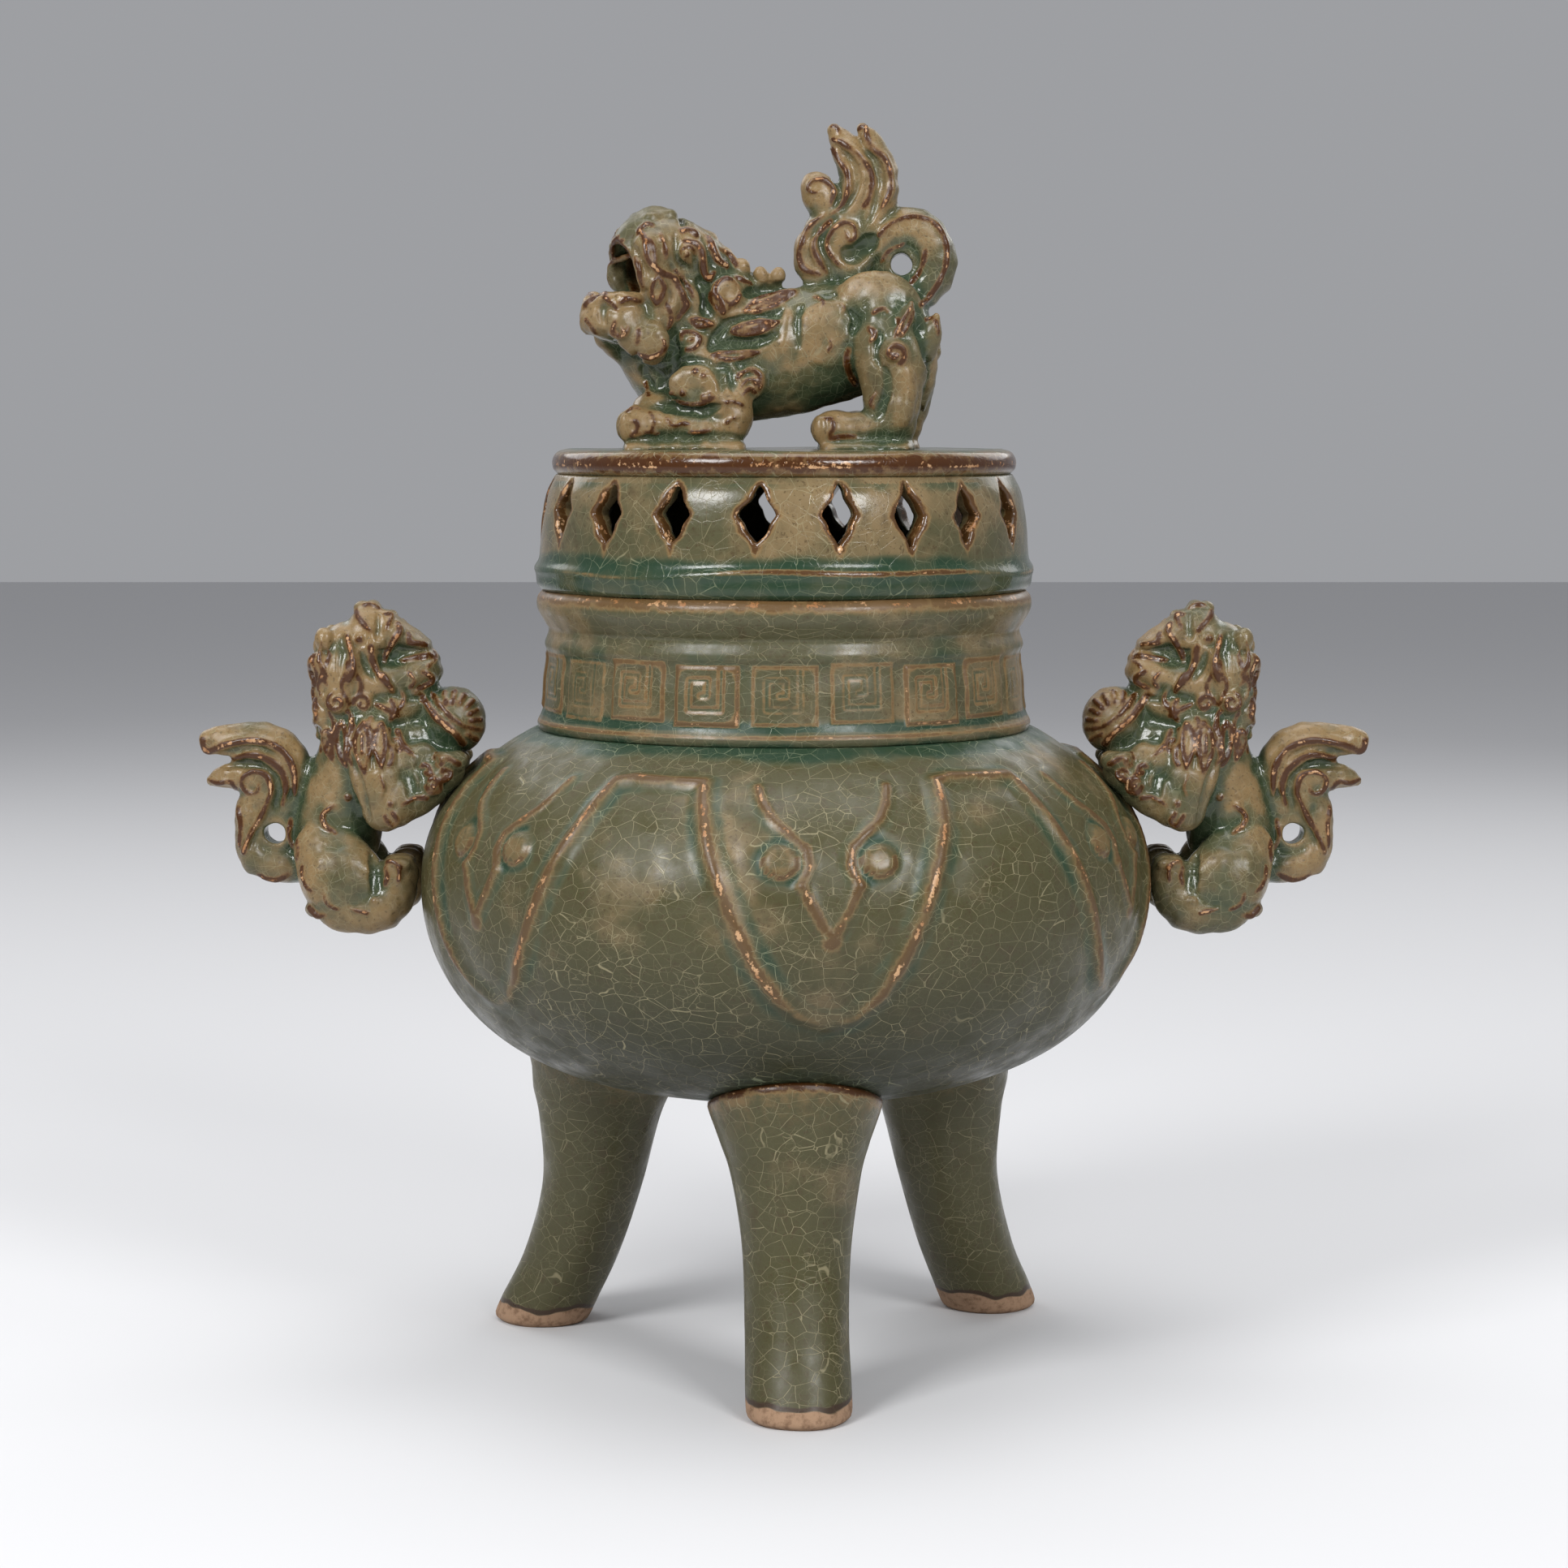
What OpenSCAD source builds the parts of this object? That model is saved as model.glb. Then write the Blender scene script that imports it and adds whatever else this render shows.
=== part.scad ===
// Tripod incense burner with two lion handles and a pierced lid under a lion finial.
// Millimetres, +Z up, floor at z = 0, vessel axis on Z, front toward -Y.

/* [Bowl] */
// Greatest outer radius of the bowl
belly_r = 87; // [75:0.5:100]
// Height of the widest level above the floor
belly_z = 113; // [105:0.5:120]
// Height the shoulder curve would reach above the widest level
shoulder_rise = 47.5; // [44:0.5:52]
// Fullness of the shoulder, 2 is an ellipse
shoulder_power = 2.2; // [1.8:0.1:3]
// Depth of the underside below the widest level
belly_drop = 49; // [44:0.5:54]
// Fullness of the underside
underside_power = 3.1; // [2.6:0.1:5]
// Wall of the bowl
bowl_wall = 5.5; // [4:0.1:8]

/* [Neck] */
// Width of the ledge the shoulder leaves round the neck's foot ring
shoulder_ledge = 0.43; // [0.1:0.01:3]
// Height of the neck up to its lip
neck_h = 32.6; // [28:0.1:38]
// Outer radius at the plain part of the neck, which the lid follows
waist_r = 55.8; // [50:0.1:62]
// How far the lip and the foot ring stand out from it
lip_flare = 2.6; // [1:0.1:5]
// Wall of the neck
neck_wall = 5.8; // [4:0.1:8]

/* [Lid] */
// Height of the pierced wall
drum_h = 27.2; // [22:0.1:34]
// How far the wall leans in at its top
drum_lean = 4.2; // [0:0.1:8]
// Wall of the lid
drum_wall = 4.6; // [3:0.1:7]
// Thickness of the top plate
deck_t = 5.8; // [4:0.1:9]
// Number of vents round the wall
vent_count = 19; // [6:1:24]
// Turn of the first vent from the front, toward +X
vent_turn = -7; // [-30:0.1:30]
// Width of a vent
vent_w = 8.2; // [4:0.1:10]
// Height of a vent
vent_h = 14; // [6:0.1:18]
// Depth of the ring that drops into the neck
flange_drop = 8; // [4:0.5:14]
// Thickness of that ring
flange_t = 3.8; // [2.5:0.1:6]

/* [Legs] */
// How far the feet stand in from the belly
foot_inset = 21.5; // [10:0.5:32]
// Half-width of a foot on the floor
foot_r = 12; // [8:0.1:16]
// Half-width of a leg where it meets the bowl
leg_top_r = 19.6; // [14:0.1:24]
// How far a leg's top stands in from the belly
leg_top_inset = 39.5; // [30:0.5:47]
// Turn of the front leg from +X
front_leg_turn = 273; // [260:0.5:280]
// Turn of the right back leg from +X
right_leg_turn = 38; // [20:0.5:50]
// Turn of the left back leg from +X
left_leg_turn = 156; // [130:0.5:165]

/* [Lions] */
// How far the tip of a handle lion's tail stands out from the belly
tail_out = 52.5; // [45:0.5:60]
// Height of a handle lion
lion_h = 78; // [70:0.5:86]
// Height of the finial lion
finial_h = 76; // [66:0.5:88]
// Turn of the finial lion's head toward the front
head_turn = 14; // [0:1:35]
// Sides of a swept limb
limb_sides = 8; // [8:2:24]

/* [Fits] */
// Play of the lid ring in the neck, as a radius
lid_clearance = 0.6; // [0.3:0.1:1.5]
// Joint of slip between two pieces of clay
slip_gap = 0.15; // [0.1:0.05:0.4]

/* [Hidden] */
$fn = 96;
bore_r = waist_r - neck_wall;
lip_r = waist_r + lip_flare;
drum_r = lip_r;
neck_z = belly_z + shoulder_rise
  * pow(1 - pow((lip_r + shoulder_ledge) / belly_r, shoulder_power), 1 / shoulder_power);
lid_z = neck_z + neck_h;
drum_top_z = lid_z + drum_h;
deck_z = drum_top_z + deck_t;
drum_bore_r = drum_r - drum_wall;
flange_r = bore_r - lid_clearance;
deck_r = drum_r - drum_lean;
foot_circle = belly_r - foot_inset;
leg_top_circle = belly_r - leg_top_inset;

// The lions are drawn below at 76 and 78 high, then scaled and set on the vessel
finial_scale = finial_h / 76;
lion_scale = lion_h / 78;
tail_reach = 87 + tail_out / lion_scale;

// Smooth curve through rows of numbers, with n steps in each span
function row(p, i) = p[max(0, min(len(p) - 1, i))];
function between(a, b, c, d, t) =
  0.5 * (2 * b + (c - a) * t + (2 * a - 5 * b + 4 * c - d) * t * t + (3 * b - a - 3 * c + d) * t * t * t);
function curve(p, n) = [
  for (i = [0 : len(p) - 2], k = [0 : n - 1])
    between(row(p, i - 1), p[i], p[i + 1], row(p, i + 2), k / n),
  p[len(p) - 1]
];

// Rings of a swept limb, square to its path, with its width across the lion
function unit(v) = v / norm(v);
function xyz(r) = [r[0], r[1], r[2]];
function heading(p, i) = unit(xyz(row(p, i + 1)) - xyz(row(p, i - 1)));
function across(t) = unit([0, 1, 0] - t[1] * t);
function ring(c, t, depth, width) = let (s = across(t), n = cross(t, s)) [
  for (k = [0 : limb_sides - 1])
    c + n * depth * cos(360 * k / limb_sides) + s * width * sin(360 * k / limb_sides)
];
function dome(c, t, depth, width, q) =
  ring(c + t * min(depth, width) * sqrt(1 - q * q), t, depth * q, width * q);

// Solid swept along rows of [x, y, z, half depth, half width], with domed ends
module limb(rows, grow = 0, steps = 2) {
  p = curve(rows, steps);
  last = len(p) - 1;
  a = heading(p, 0);
  b = heading(p, last);
  depth = [for (r = p) r[3] + grow];
  width = [for (r = p) r[4] + grow];
  start = dome(xyz(p[0]), -a, depth[0], width[0], 0.7);
  finish = dome(xyz(p[last]), b, depth[last], width[last], 0.7);
  flip = [for (k = [0 : limb_sides - 1]) start[(limb_sides * 3 / 2 - k) % limb_sides]];
  middle = [for (i = [0 : last]) ring(xyz(p[i]), heading(p, i), depth[i], width[i])];
  rings = concat([flip], middle, [finish]);
  n = limb_sides;
  top = len(rings) - 1;
  tip_a = xyz(p[0]) - a * min(depth[0], width[0]);
  tip_b = xyz(p[last]) + b * min(depth[last], width[last]);
  points = concat([for (r = rings, v = r) v], [tip_a, tip_b]);
  count = len(points);
  walls = [
    for (i = [0 : top - 1], k = [0 : n - 1]) let (m = (k + 1) % n)
      each [[i * n + k, i * n + m, i * n + n + m], [i * n + k, i * n + n + m, i * n + n + k]]
  ];
  ends = [
    for (k = [0 : n - 1]) let (m = (k + 1) % n)
      each [[count - 2, m, k], [count - 1, top * n + k, top * n + m]]
  ];
  polyhedron(points, concat(walls, ends), convexity = 4);
}

// Tapered lock of hair, toe or curl between two round ends
module lock(a, b, ra, rb) {
  hull() {
    translate(a) sphere(ra, $fn = 5);
    translate(b) sphere(rb, $fn = 4);
  }
}

// Four toes spread across a paw
module toes(paw, reach, spread, r) {
  for (k = [-1.5, -0.5, 0.5, 1.5]) {
    root = paw + [0, k * spread, 0];
    lock(root, root + reach, r, r * 0.8);
  }
}

// Bowl curves: height of the underside at a radius, and the outer and inner outlines
function underside(r) = belly_z - belly_drop * sqrt(1 - pow(r / belly_r, underside_power));
function lower_curve(r, drop) = [
  for (t = [90 : -6 : 6]) [r * pow(cos(t), 2 / underside_power), belly_z - drop * sin(t)]
];
function upper_curve(r, rise) =
  let (stop = asin(pow(min(1, (neck_z - belly_z) / rise), shoulder_power / 2))) [
    for (k = [0 : 14]) let (t = stop * k / 14)
      [r * pow(cos(t), 2 / shoulder_power), belly_z + rise * pow(sin(t), 2 / shoulder_power)]
  ];
function bowl_outline(grow) =
  concat(lower_curve(belly_r + grow, belly_drop + grow), upper_curve(belly_r + grow, shoulder_rise + grow));
function bowl_hollow() = [
  for (p = concat(lower_curve(belly_r - bowl_wall, belly_drop - bowl_wall),
      upper_curve(belly_r - bowl_wall, shoulder_rise - bowl_wall)))
    if (p[1] < belly_z || p[0] > bore_r) p
];

// Everything within the bowl's outer face and a slip joint more, for seating the lions
module bowl_seat() {
  sides = 48;
  spread = 1 / cos(180 / sides);
  rotate_extrude($fn = sides)
    polygon(concat([for (p = bowl_outline(slip_gap)) [p[0] * spread, p[1]]], [[0, neck_z]]));
}

module bowl() {
  color("#8a8a5c")
    rotate_extrude()
      polygon(concat(bowl_outline(0), [[bore_r, neck_z]],
        [for (i = [len(bowl_hollow()) - 1 : -1 : 0]) bowl_hollow()[i]]));
}

module neck() {
  rib = (lip_r - waist_r) / 3;
  h = neck_h / 32.6;
  outline = curve([
    [lip_r - 0.4, 0], [lip_r, 1.6 * h], [waist_r + 2 * rib, 3.6 * h], [waist_r + rib, 6.5 * h],
    [waist_r + rib * 0.7, 12 * h], [waist_r, 17 * h], [waist_r + rib, 20 * h], [waist_r, 23.2 * h],
    [waist_r + rib, 25 * h], [lip_r, 28.2 * h], [lip_r, 31 * h], [lip_r - 1.2, neck_h]
  ], 4);
  color("#7d7448")
    translate([0, 0, neck_z])
      rotate_extrude()
        polygon(concat(outline, [[bore_r, neck_h], [bore_r, 0]]));
}

// One leg: level rings up to the bowl, then a cap that follows the underside
module leg(turn) {
  n = 22;
  h = (belly_z - belly_drop) / 64;
  rows = curve([
    [0, foot_circle, foot_r - 1], [1.2 * h, foot_circle - 0.2, foot_r], [6 * h, foot_circle - 2.3, foot_r],
    [18 * h, foot_circle - 8.2, foot_r - 0.2], [36 * h, leg_top_circle + 4.2, foot_r + 0.4],
    [52 * h, leg_top_circle + 2, foot_r + 2.8], [62 * h, leg_top_circle + 0.8, leg_top_r - 2.2]
  ], 2);
  caps = [1, 0.8, 0.6, 0.4, 0.2];
  wall_rings = [
    for (r = rows) [for (k = [0 : n - 1]) [r[1] + r[2] * cos(360 * k / n), r[2] * sin(360 * k / n), r[0]]]
  ];
  cap_rings = [
    for (q = caps) [
      for (k = [0 : n - 1])
        let (x = leg_top_circle + leg_top_r * q * cos(360 * k / n), y = leg_top_r * q * sin(360 * k / n))
          [x, y, underside(norm([x, y])) - slip_gap]
    ]
  ];
  rings = concat(wall_rings, cap_rings);
  top = len(rings) - 1;
  points = concat([for (r = rings, v = r) v], [[leg_top_circle, 0, underside(leg_top_circle) - slip_gap]]);
  walls = [
    for (i = [0 : top - 1], k = [0 : n - 1]) let (m = (k + 1) % n)
      each [[i * n + m, i * n + k, i * n + n + m], [i * n + n + m, i * n + k, i * n + n + k]]
  ];
  ends = [for (k = [0 : n - 1]) [len(points) - 1, top * n + (k + 1) % n, top * n + k]];
  floor_face = [[for (k = [0 : n - 1]) k]];
  rotate([0, 0, turn])
    polyhedron(points, concat(walls, ends, floor_face), convexity = 2);
}

module front_leg() {
  color("#6f7448") leg(front_leg_turn);
}

module right_leg() {
  color("#6f7448") leg(right_leg_turn);
}

module left_leg() {
  color("#6f7448") leg(left_leg_turn);
}

module vent() {
  rotate([90, 0, 0])
    linear_extrude(height = drum_r + 5)
      polygon([[-vent_w / 2, 0], [0, -vent_h / 2], [vent_w / 2, 0], [0, vent_h / 2]]);
}

module lid_drum() {
  lean = drum_lean;
  h = drum_h / 27.2;
  outline = curve([
    [drum_r - 1.4, 0], [drum_r, 1.6 * h], [drum_r, 5.6 * h], [drum_r - 0.6, 7.6 * h], [drum_r - 0.9, 11 * h],
    [drum_r - lean * 0.3, 17 * h], [drum_r - lean * 0.6, 23 * h], [deck_r - 0.4, drum_h]
  ], 4);
  color("#8f7a4c")
    translate([0, 0, lid_z])
      difference() {
        rotate_extrude()
          polygon(concat(outline, [[deck_r - drum_wall, drum_h], [drum_bore_r, 8 * h], [drum_bore_r, 0]]));
        for (k = [0 : vent_count - 1])
          rotate([0, 0, vent_turn + 360 * k / vent_count])
            translate([0, 0, drum_h * 0.69])
              vent();
      }
}

module lid_deck() {
  h = deck_t / 5.8;
  color("#5f3b22")
    translate([0, 0, drum_top_z])
      rotate_extrude()
        polygon(concat(
          curve([[deck_r - 0.9, 0], [deck_r + 0.2, 1.4 * h], [deck_r + 0.3, 3.4 * h], [deck_r - 0.8, 5.1 * h],
            [deck_r - 3, deck_t]], 4),
          [[0, deck_t], [0, 0]]));
}

module lid_flange() {
  web = slip_gap * 3;
  color("#a58f66")
    translate([0, 0, lid_z])
      rotate_extrude()
        polygon([[flange_r - flange_t, -flange_drop], [flange_r, -flange_drop], [flange_r, web],
          [drum_bore_r - slip_gap, web], [drum_bore_r - slip_gap, 4], [flange_r - flange_t, 4]]);
}

// Finial lion, drawn from the lid's top plate with its head toward -X
module on_deck() {
  translate([0, 0, deck_z]) scale(finial_scale) children();
}

module above_deck() {
  intersection() {
    children();
    translate([-60, -40, 0]) cube([120, 80, 100]);
  }
}

module finial_torso(grow = 0) {
  limb([[-26, 0, 14, 8.5, 9], [-20, 0, 17.5, 12, 12], [-10, 0, 20.6, 15, 13], [4, 0, 23.2, 15, 12.5],
    [17, 0, 26.8, 14.2, 12], [26, 0, 30.5, 9.5, 10]], grow);
  limb([[-14, 0, 20, 13, 11], [-18, 0, 29, 14, 12.5], [-19, 0, 37, 11, 11.5]], grow);
}

module finial_mane() {
  for (s = [-1, 1]) {
    lock([-9, s * 9.5, 36], [-2, s * 11, 33], 3.6, 1.6);
    lock([-9, s * 11, 31], [-1, s * 12.4, 28], 3.6, 1.6);
    lock([-11, s * 11.6, 26], [-3, s * 13.2, 22], 3.6, 1.6);
    lock([-17, s * 12, 24], [-11, s * 13.4, 17], 4, 2);
    lock([-25, s * 10.5, 24], [-22, s * 12.2, 16], 4, 2);
  }
  for (x = [-4, 3, 10, 17, 23]) lock([x, 0, 37.2 + x * 0.12], [x + 4, 0, 38.4 + x * 0.12], 2.4, 1.2);
}

module finial_body() {
  color("#9a8052")
    on_deck()
      union() {
        finial_torso();
        finial_mane();
      }
}

module finial_jaws() {
  limb([[-17, 0, 35, 8, 10], [-21, 0, 41, 9.4, 11.5], [-28, 0, 47.6, 8, 10.5], [-35, 0, 49, 6, 9],
    [-39.6, 0, 46, 4, 7.6], [-39.4, 0, 42.4, 2.4, 6.6]]);
  limb([[-23, 0, 29, 7.6, 10], [-33, 0, 29, 7.4, 9.5], [-41, 0, 30.6, 6, 8.4], [-46, 0, 32, 3.4, 5.6]]);
  limb([[-22, 0, 42, 8, 11], [-25.5, 0, 36, 8, 10.5], [-26, 0, 28, 8, 10]]);
  lock([-27, 0, 52.4], [-32, 0, 53], 3.4, 3);
  lock([-45, 0, 32], [-46, 0, 29], 3.4, 3);
  lock([-38, 0, 27], [-33, 0, 20], 5, 5);
  for (s = [-1, 1]) {
    lock([-24, s * 7, 50], [-18, s * 9.5, 46.5], 2.8, 1.8);
    lock([-24.5, s * 10.6, 45.6], [-22, s * 11, 45], 2.4, 2.2);
    lock([-19, s * 9.6, 42], [-15, s * 12, 38.5], 3.6, 2.6);
    lock([-33, s * 7.5, 27], [-33, s * 8, 22.5], 3.4, 2.2);
    lock([-28, s * 8.6, 30], [-27.4, s * 10, 25], 3.6, 2.4);
    lock([-16, s * 6, 41.5], [-10, s * 6.5, 41.5], 3.6, 2);
  }
}

module finial_head() {
  color("#9a8052")
    on_deck()
      difference() {
        translate([-20, 0, 38])
          rotate([0, 0, head_turn])
            translate([20, 0, -38])
              finial_jaws();
        finial_torso(slip_gap);
        finial_mane();
      }
}

module finial_foreleg(s) {
  above_deck()
    difference() {
      union() {
        limb([[-17, s * 10, 19, 8, 4.5], [-14, s * 12.5, 12.5, 8, 5.5], [-13.5, s * 13.5, 6.5, 6.5, 5.5]]);
        limb([[-12.5, s * 13.5, 5.5, 5.4, 5.4], [-22, s * 13, 5.2, 5.2, 5.4], [-33, s * 12, 4.6, 4.6, 5.8]]);
        toes([-34, s * 12, 3.2], [-3.6, 0, -0.6], 2.9, 2.2);
        for (z = [6, 9.5, 13, 16.5]) lock([-9.5, s * 13, z], [-6.5, s * 13, z - 1.5], 2.4, 1.2);
      }
      finial_torso(slip_gap);
      finial_mane();
    }
}

module finial_near_foreleg() {
  color("#9a8052") on_deck() finial_foreleg(-1);
}

module finial_far_foreleg() {
  color("#9a8052") on_deck() finial_foreleg(1);
}

module finial_haunch(s, grow = 0) {
  limb([[25, s * 8.5, 31, 8.5, 5.5], [27, s * 11.5, 23, 11, 6], [28, s * 12.5, 14, 10.8, 6],
    [28.5, s * 12.8, 6.5, 7, 5.5]], grow);
}

module finial_hindleg(s) {
  above_deck()
    difference() {
      union() {
        finial_haunch(s);
        limb([[30, s * 12.8, 5, 4.8, 5], [22, s * 12.8, 5, 4.8, 5.2], [14.5, s * 12.8, 4.4, 4.4, 5.8]]);
        lock([29, s * 11, 31], [33, s * 11.5, 33], 3, 1.2);
        lock([33, s * 11, 28], [37, s * 11.5, 29.5], 3, 1.2);
        for (z = [16, 21]) lock([37, s * 12, z], [39.4, s * 12, z - 2], 2.4, 1.2);
        toes([14, s * 12.8, 3.2], [-3.4, 0, -0.6], 2.9, 2.2);
      }
      finial_torso(slip_gap);
      finial_mane();
    }
}

module finial_near_hindleg() {
  color("#9a8052") on_deck() finial_hindleg(-1);
}

module finial_far_hindleg() {
  color("#9a8052") on_deck() finial_hindleg(1);
}

module finial_tail() {
  color("#9a8052")
    on_deck()
      difference() {
        union() {
          limb([[26, 0, 36.5, 4.5, 5], [32.8, 0, 37.6, 4.8, 5], [35.8, 0, 43.5, 5, 5], [33.8, 0, 49.4, 5, 5],
            [28.5, 0, 51.2, 5, 5], [22.5, 0, 49, 5.4, 5]]);
          limb([[16.5, 0, 40, 4.5, 5], [14.8, 0, 48, 8.5, 5.5], [15.5, 0, 57, 9, 5.2],
            [16.4, 0, 64, 7.4, 4.6], [14.4, 0, 70, 5, 3.6], [11.2, 0, 74.8, 2.2, 2.4]]);
          limb([[19, 0, 51, 5.5, 4.6], [21.8, 0, 58, 5, 4.4], [22, 0, 66, 4.2, 3.6],
            [18.8, 0, 74.8, 2.2, 2.2]]);
          limb([[8, 0, 40, 5, 4.6], [8.4, 0, 48, 5.2, 4.6], [8.4, 0, 57, 4.8, 4.4],
            [7.6, 0, 60.4, 4.2, 4.2]]);
          for (s = [-1, 1]) {
            lock([12.5, s * 5, 47], [17, s * 5, 50], 2.2, 1.8);
            lock([10, s * 4.6, 53], [14, s * 4.4, 60], 2, 1.4);
            lock([16, s * 4.4, 56], [18.5, s * 4, 64], 2, 1.4);
            lock([21, s * 4, 54], [23, s * 3.8, 60], 2, 1.4);
          }
        }
        finial_torso(slip_gap);
        finial_mane();
        for (s = [-1, 1]) finial_haunch(s, slip_gap);
      }
}

// Handle lion, drawn on the +X side and looking over the bowl at the lid
module on_belly() {
  translate([belly_r, 0, belly_z])
    scale(lion_scale)
      translate([-87, 0, -113])
        children();
}

module handle_torso(grow = 0) {
  limb([[109.5, 0, 114.5, 6.5, 8], [105.6, 0, 121, 10.5, 10], [102.6, 0, 131, 11.5, 10.5],
    [99.6, 0, 141, 11.5, 11], [98, 0, 150, 10, 10.5]], grow);
}

module handle_mane() {
  for (s = [-1, 1]) {
    lock([106, s * 7.5, 150], [108, s * 8.5, 142], 3.4, 1.8);
    lock([102, s * 9.5, 150], [103, s * 10.8, 140], 3.4, 1.8);
    lock([97, s * 9.5, 150], [97, s * 11, 141], 3.4, 1.8);
    lock([107, s * 8, 138], [110, s * 7, 132], 2.6, 1.4);
  }
  for (z = [126, 134, 142]) {
    x = 115.6 - (z - 126) * 0.4;
    lock([x, 0, z], [x + 0.6, 0, z - 4], 2.4, 1.4);
  }
}

module handle_body() {
  difference() {
    on_belly() {
      handle_torso();
      handle_mane();
    }
    bowl_seat();
  }
}

module handle_head() {
  difference() {
    union() {
      limb([[103, 0, 159, 8.5, 11], [98.4, 0, 166, 9.8, 11.5], [92, 0, 167, 8.6, 10],
        [86.4, 0, 164.4, 6.4, 8.2], [83, 0, 162.6, 3.6, 6]]);
      limb([[99.5, 0, 170, 6.5, 8], [97.4, 0, 174.8, 4.8, 6.4], [93.5, 0, 175.6, 3, 4.4]]);
      limb([[96.5, 0, 156.5, 6, 8.5], [90, 0, 157.4, 4.4, 7], [86.6, 0, 158.8, 2.8, 5]]);
      limb([[104.6, 0, 170, 4, 8], [106, 0, 161, 4.4, 9.5], [105.6, 0, 152, 4, 8.5]]);
      for (s = [-1, 1]) {
        lock([93, s * 7, 173], [97, s * 9.5, 171.5], 2.6, 1.8);
        lock([100, s * 10.5, 171], [103, s * 12, 168], 3.2, 2);
        lock([99, s * 11, 164], [103, s * 12, 160], 3.2, 2.2);
        lock([97, s * 9.5, 158], [101, s * 11, 153.5], 3.2, 2.2);
        lock([91, s * 8.4, 168], [89, s * 8, 168.4], 2.2, 2);
      }
    }
    handle_torso(slip_gap);
    handle_mane();
  }
}

module handle_arms() {
  difference() {
    on_belly()
      difference() {
        for (s = [-1, 1]) {
          limb([[99, s * 9, 144, 6.5, 4.5], [95, s * 11, 136, 6.5, 5], [92.5, s * 11, 130.5, 5.4, 5]]);
          limb([[92.5, s * 10.5, 130.5, 5, 5], [86, s * 9, 134.6, 5, 5], [79.8, s * 7.6, 139.2, 4.8, 4.8]]);
          toes([80.4, s * 7.6, 140], [-1.8, 0, 1.8], 2.2, 2.2);
        }
        handle_torso(slip_gap);
        handle_mane();
        ball_place() sphere(8 + 2 * slip_gap, $fn = 16);
      }
    bowl_seat();
  }
}

module haunch(s, grow = 0) {
  limb([[107, s * 8.5, 121, 8, 5], [103.5, s * 11, 115, 9.5, 5.5], [102.5, s * 11.5, 109, 7, 5]], grow);
}

module handle_hindlegs() {
  difference() {
    on_belly()
      difference() {
        for (s = [-1, 1]) {
          haunch(s);
          limb([[105, s * 11.5, 107.4, 4.4, 4.6], [98, s * 11.5, 106, 5.4, 5.2],
            [92.4, s * 11, 108.6, 5.4, 5.2], [90.6, s * 10.5, 114, 4.4, 5]]);
          toes([90.6, s * 10.5, 114.5], [0.2, 0, 3], 2.5, 2);
        }
        handle_torso(slip_gap);
        handle_mane();
      }
    bowl_seat();
  }
}

module handle_tail() {
  difference() {
    union() {
      limb([[113, 0, 117.5, 4.5, 4.6], [119, 0, 116.4, 4, 4.6], [125, 0, 117.8, 4, 4.6],
        [127, 0, 123.4, 4, 4.6], [124.8, 0, 129.6, 4.6, 4.8], [122, 0, 134.5, 6, 5]]);
      limb([[116, 0, 131, 3.6, 4], [116.6, 0, 138.4, 5.6, 4.8], [120.6, 0, 143.8, 6.2, 5],
        [127, 0, 145.4, 5, 4.6], [133, 0, 146.6, 3.2, 3.4], [tail_reach - 1.6, 0, 147.4, 1.6, 2]]);
      limb([[121, 0, 137, 6, 4.8], [128.5, 0, 138.8, 4.4, 4.2], [tail_reach - 4.6, 0, 136.8, 1.8, 2.2]]);
      for (s = [-1, 1]) {
        lock([120, s * 4.8, 133], [124, s * 4.8, 136], 2, 1.8);
        lock([117, s * 4.6, 138], [121, s * 4.8, 145], 2, 1.6);
        lock([123, s * 4.6, 146], [130, s * 3.6, 147], 1.8, 1.2);
        lock([123, s * 4.4, 140], [130, s * 3.4, 139], 1.8, 1.2);
      }
    }
    handle_torso(slip_gap);
    handle_mane();
    for (s = [-1, 1]) haunch(s, slip_gap);
  }
}

module ball_place() {
  translate([78.6, 0, 151.4]) children();
}

module handle_ball() {
  ball_place() sphere(8);
}

module to_left() {
  mirror([1, 0, 0]) children();
}

module left_lion_body() {
  color("#8e7a4a") to_left() handle_body();
}

module left_lion_head() {
  color("#8e7a4a") to_left() on_belly() handle_head();
}

module left_lion_arms() {
  color("#8e7a4a") to_left() handle_arms();
}

module left_lion_hindlegs() {
  color("#8e7a4a") to_left() handle_hindlegs();
}

module left_lion_tail() {
  color("#8e7a4a") to_left() on_belly() handle_tail();
}

module left_lion_ball() {
  color("#8e7a4a") to_left() on_belly() handle_ball();
}

module right_lion_body() {
  color("#8e7a4a") handle_body();
}

module right_lion_head() {
  color("#8e7a4a") on_belly() handle_head();
}

module right_lion_arms() {
  color("#8e7a4a") handle_arms();
}

module right_lion_hindlegs() {
  color("#8e7a4a") handle_hindlegs();
}

module right_lion_tail() {
  color("#8e7a4a") on_belly() handle_tail();
}

module right_lion_ball() {
  color("#8e7a4a") on_belly() handle_ball();
}

bowl();
neck();
front_leg();
right_leg();
left_leg();
lid_drum();
lid_deck();
lid_flange();
finial_body();
finial_head();
finial_near_foreleg();
finial_far_foreleg();
finial_near_hindleg();
finial_far_hindleg();
finial_tail();
left_lion_body();
left_lion_head();
left_lion_arms();
left_lion_hindlegs();
left_lion_tail();
left_lion_ball();
right_lion_body();
right_lion_head();
right_lion_arms();
right_lion_hindlegs();
right_lion_tail();
right_lion_ball();
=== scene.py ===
"""Looks of the tripod lion incense burner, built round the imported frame. Sculpting is in millimetres."""
import math

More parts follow.
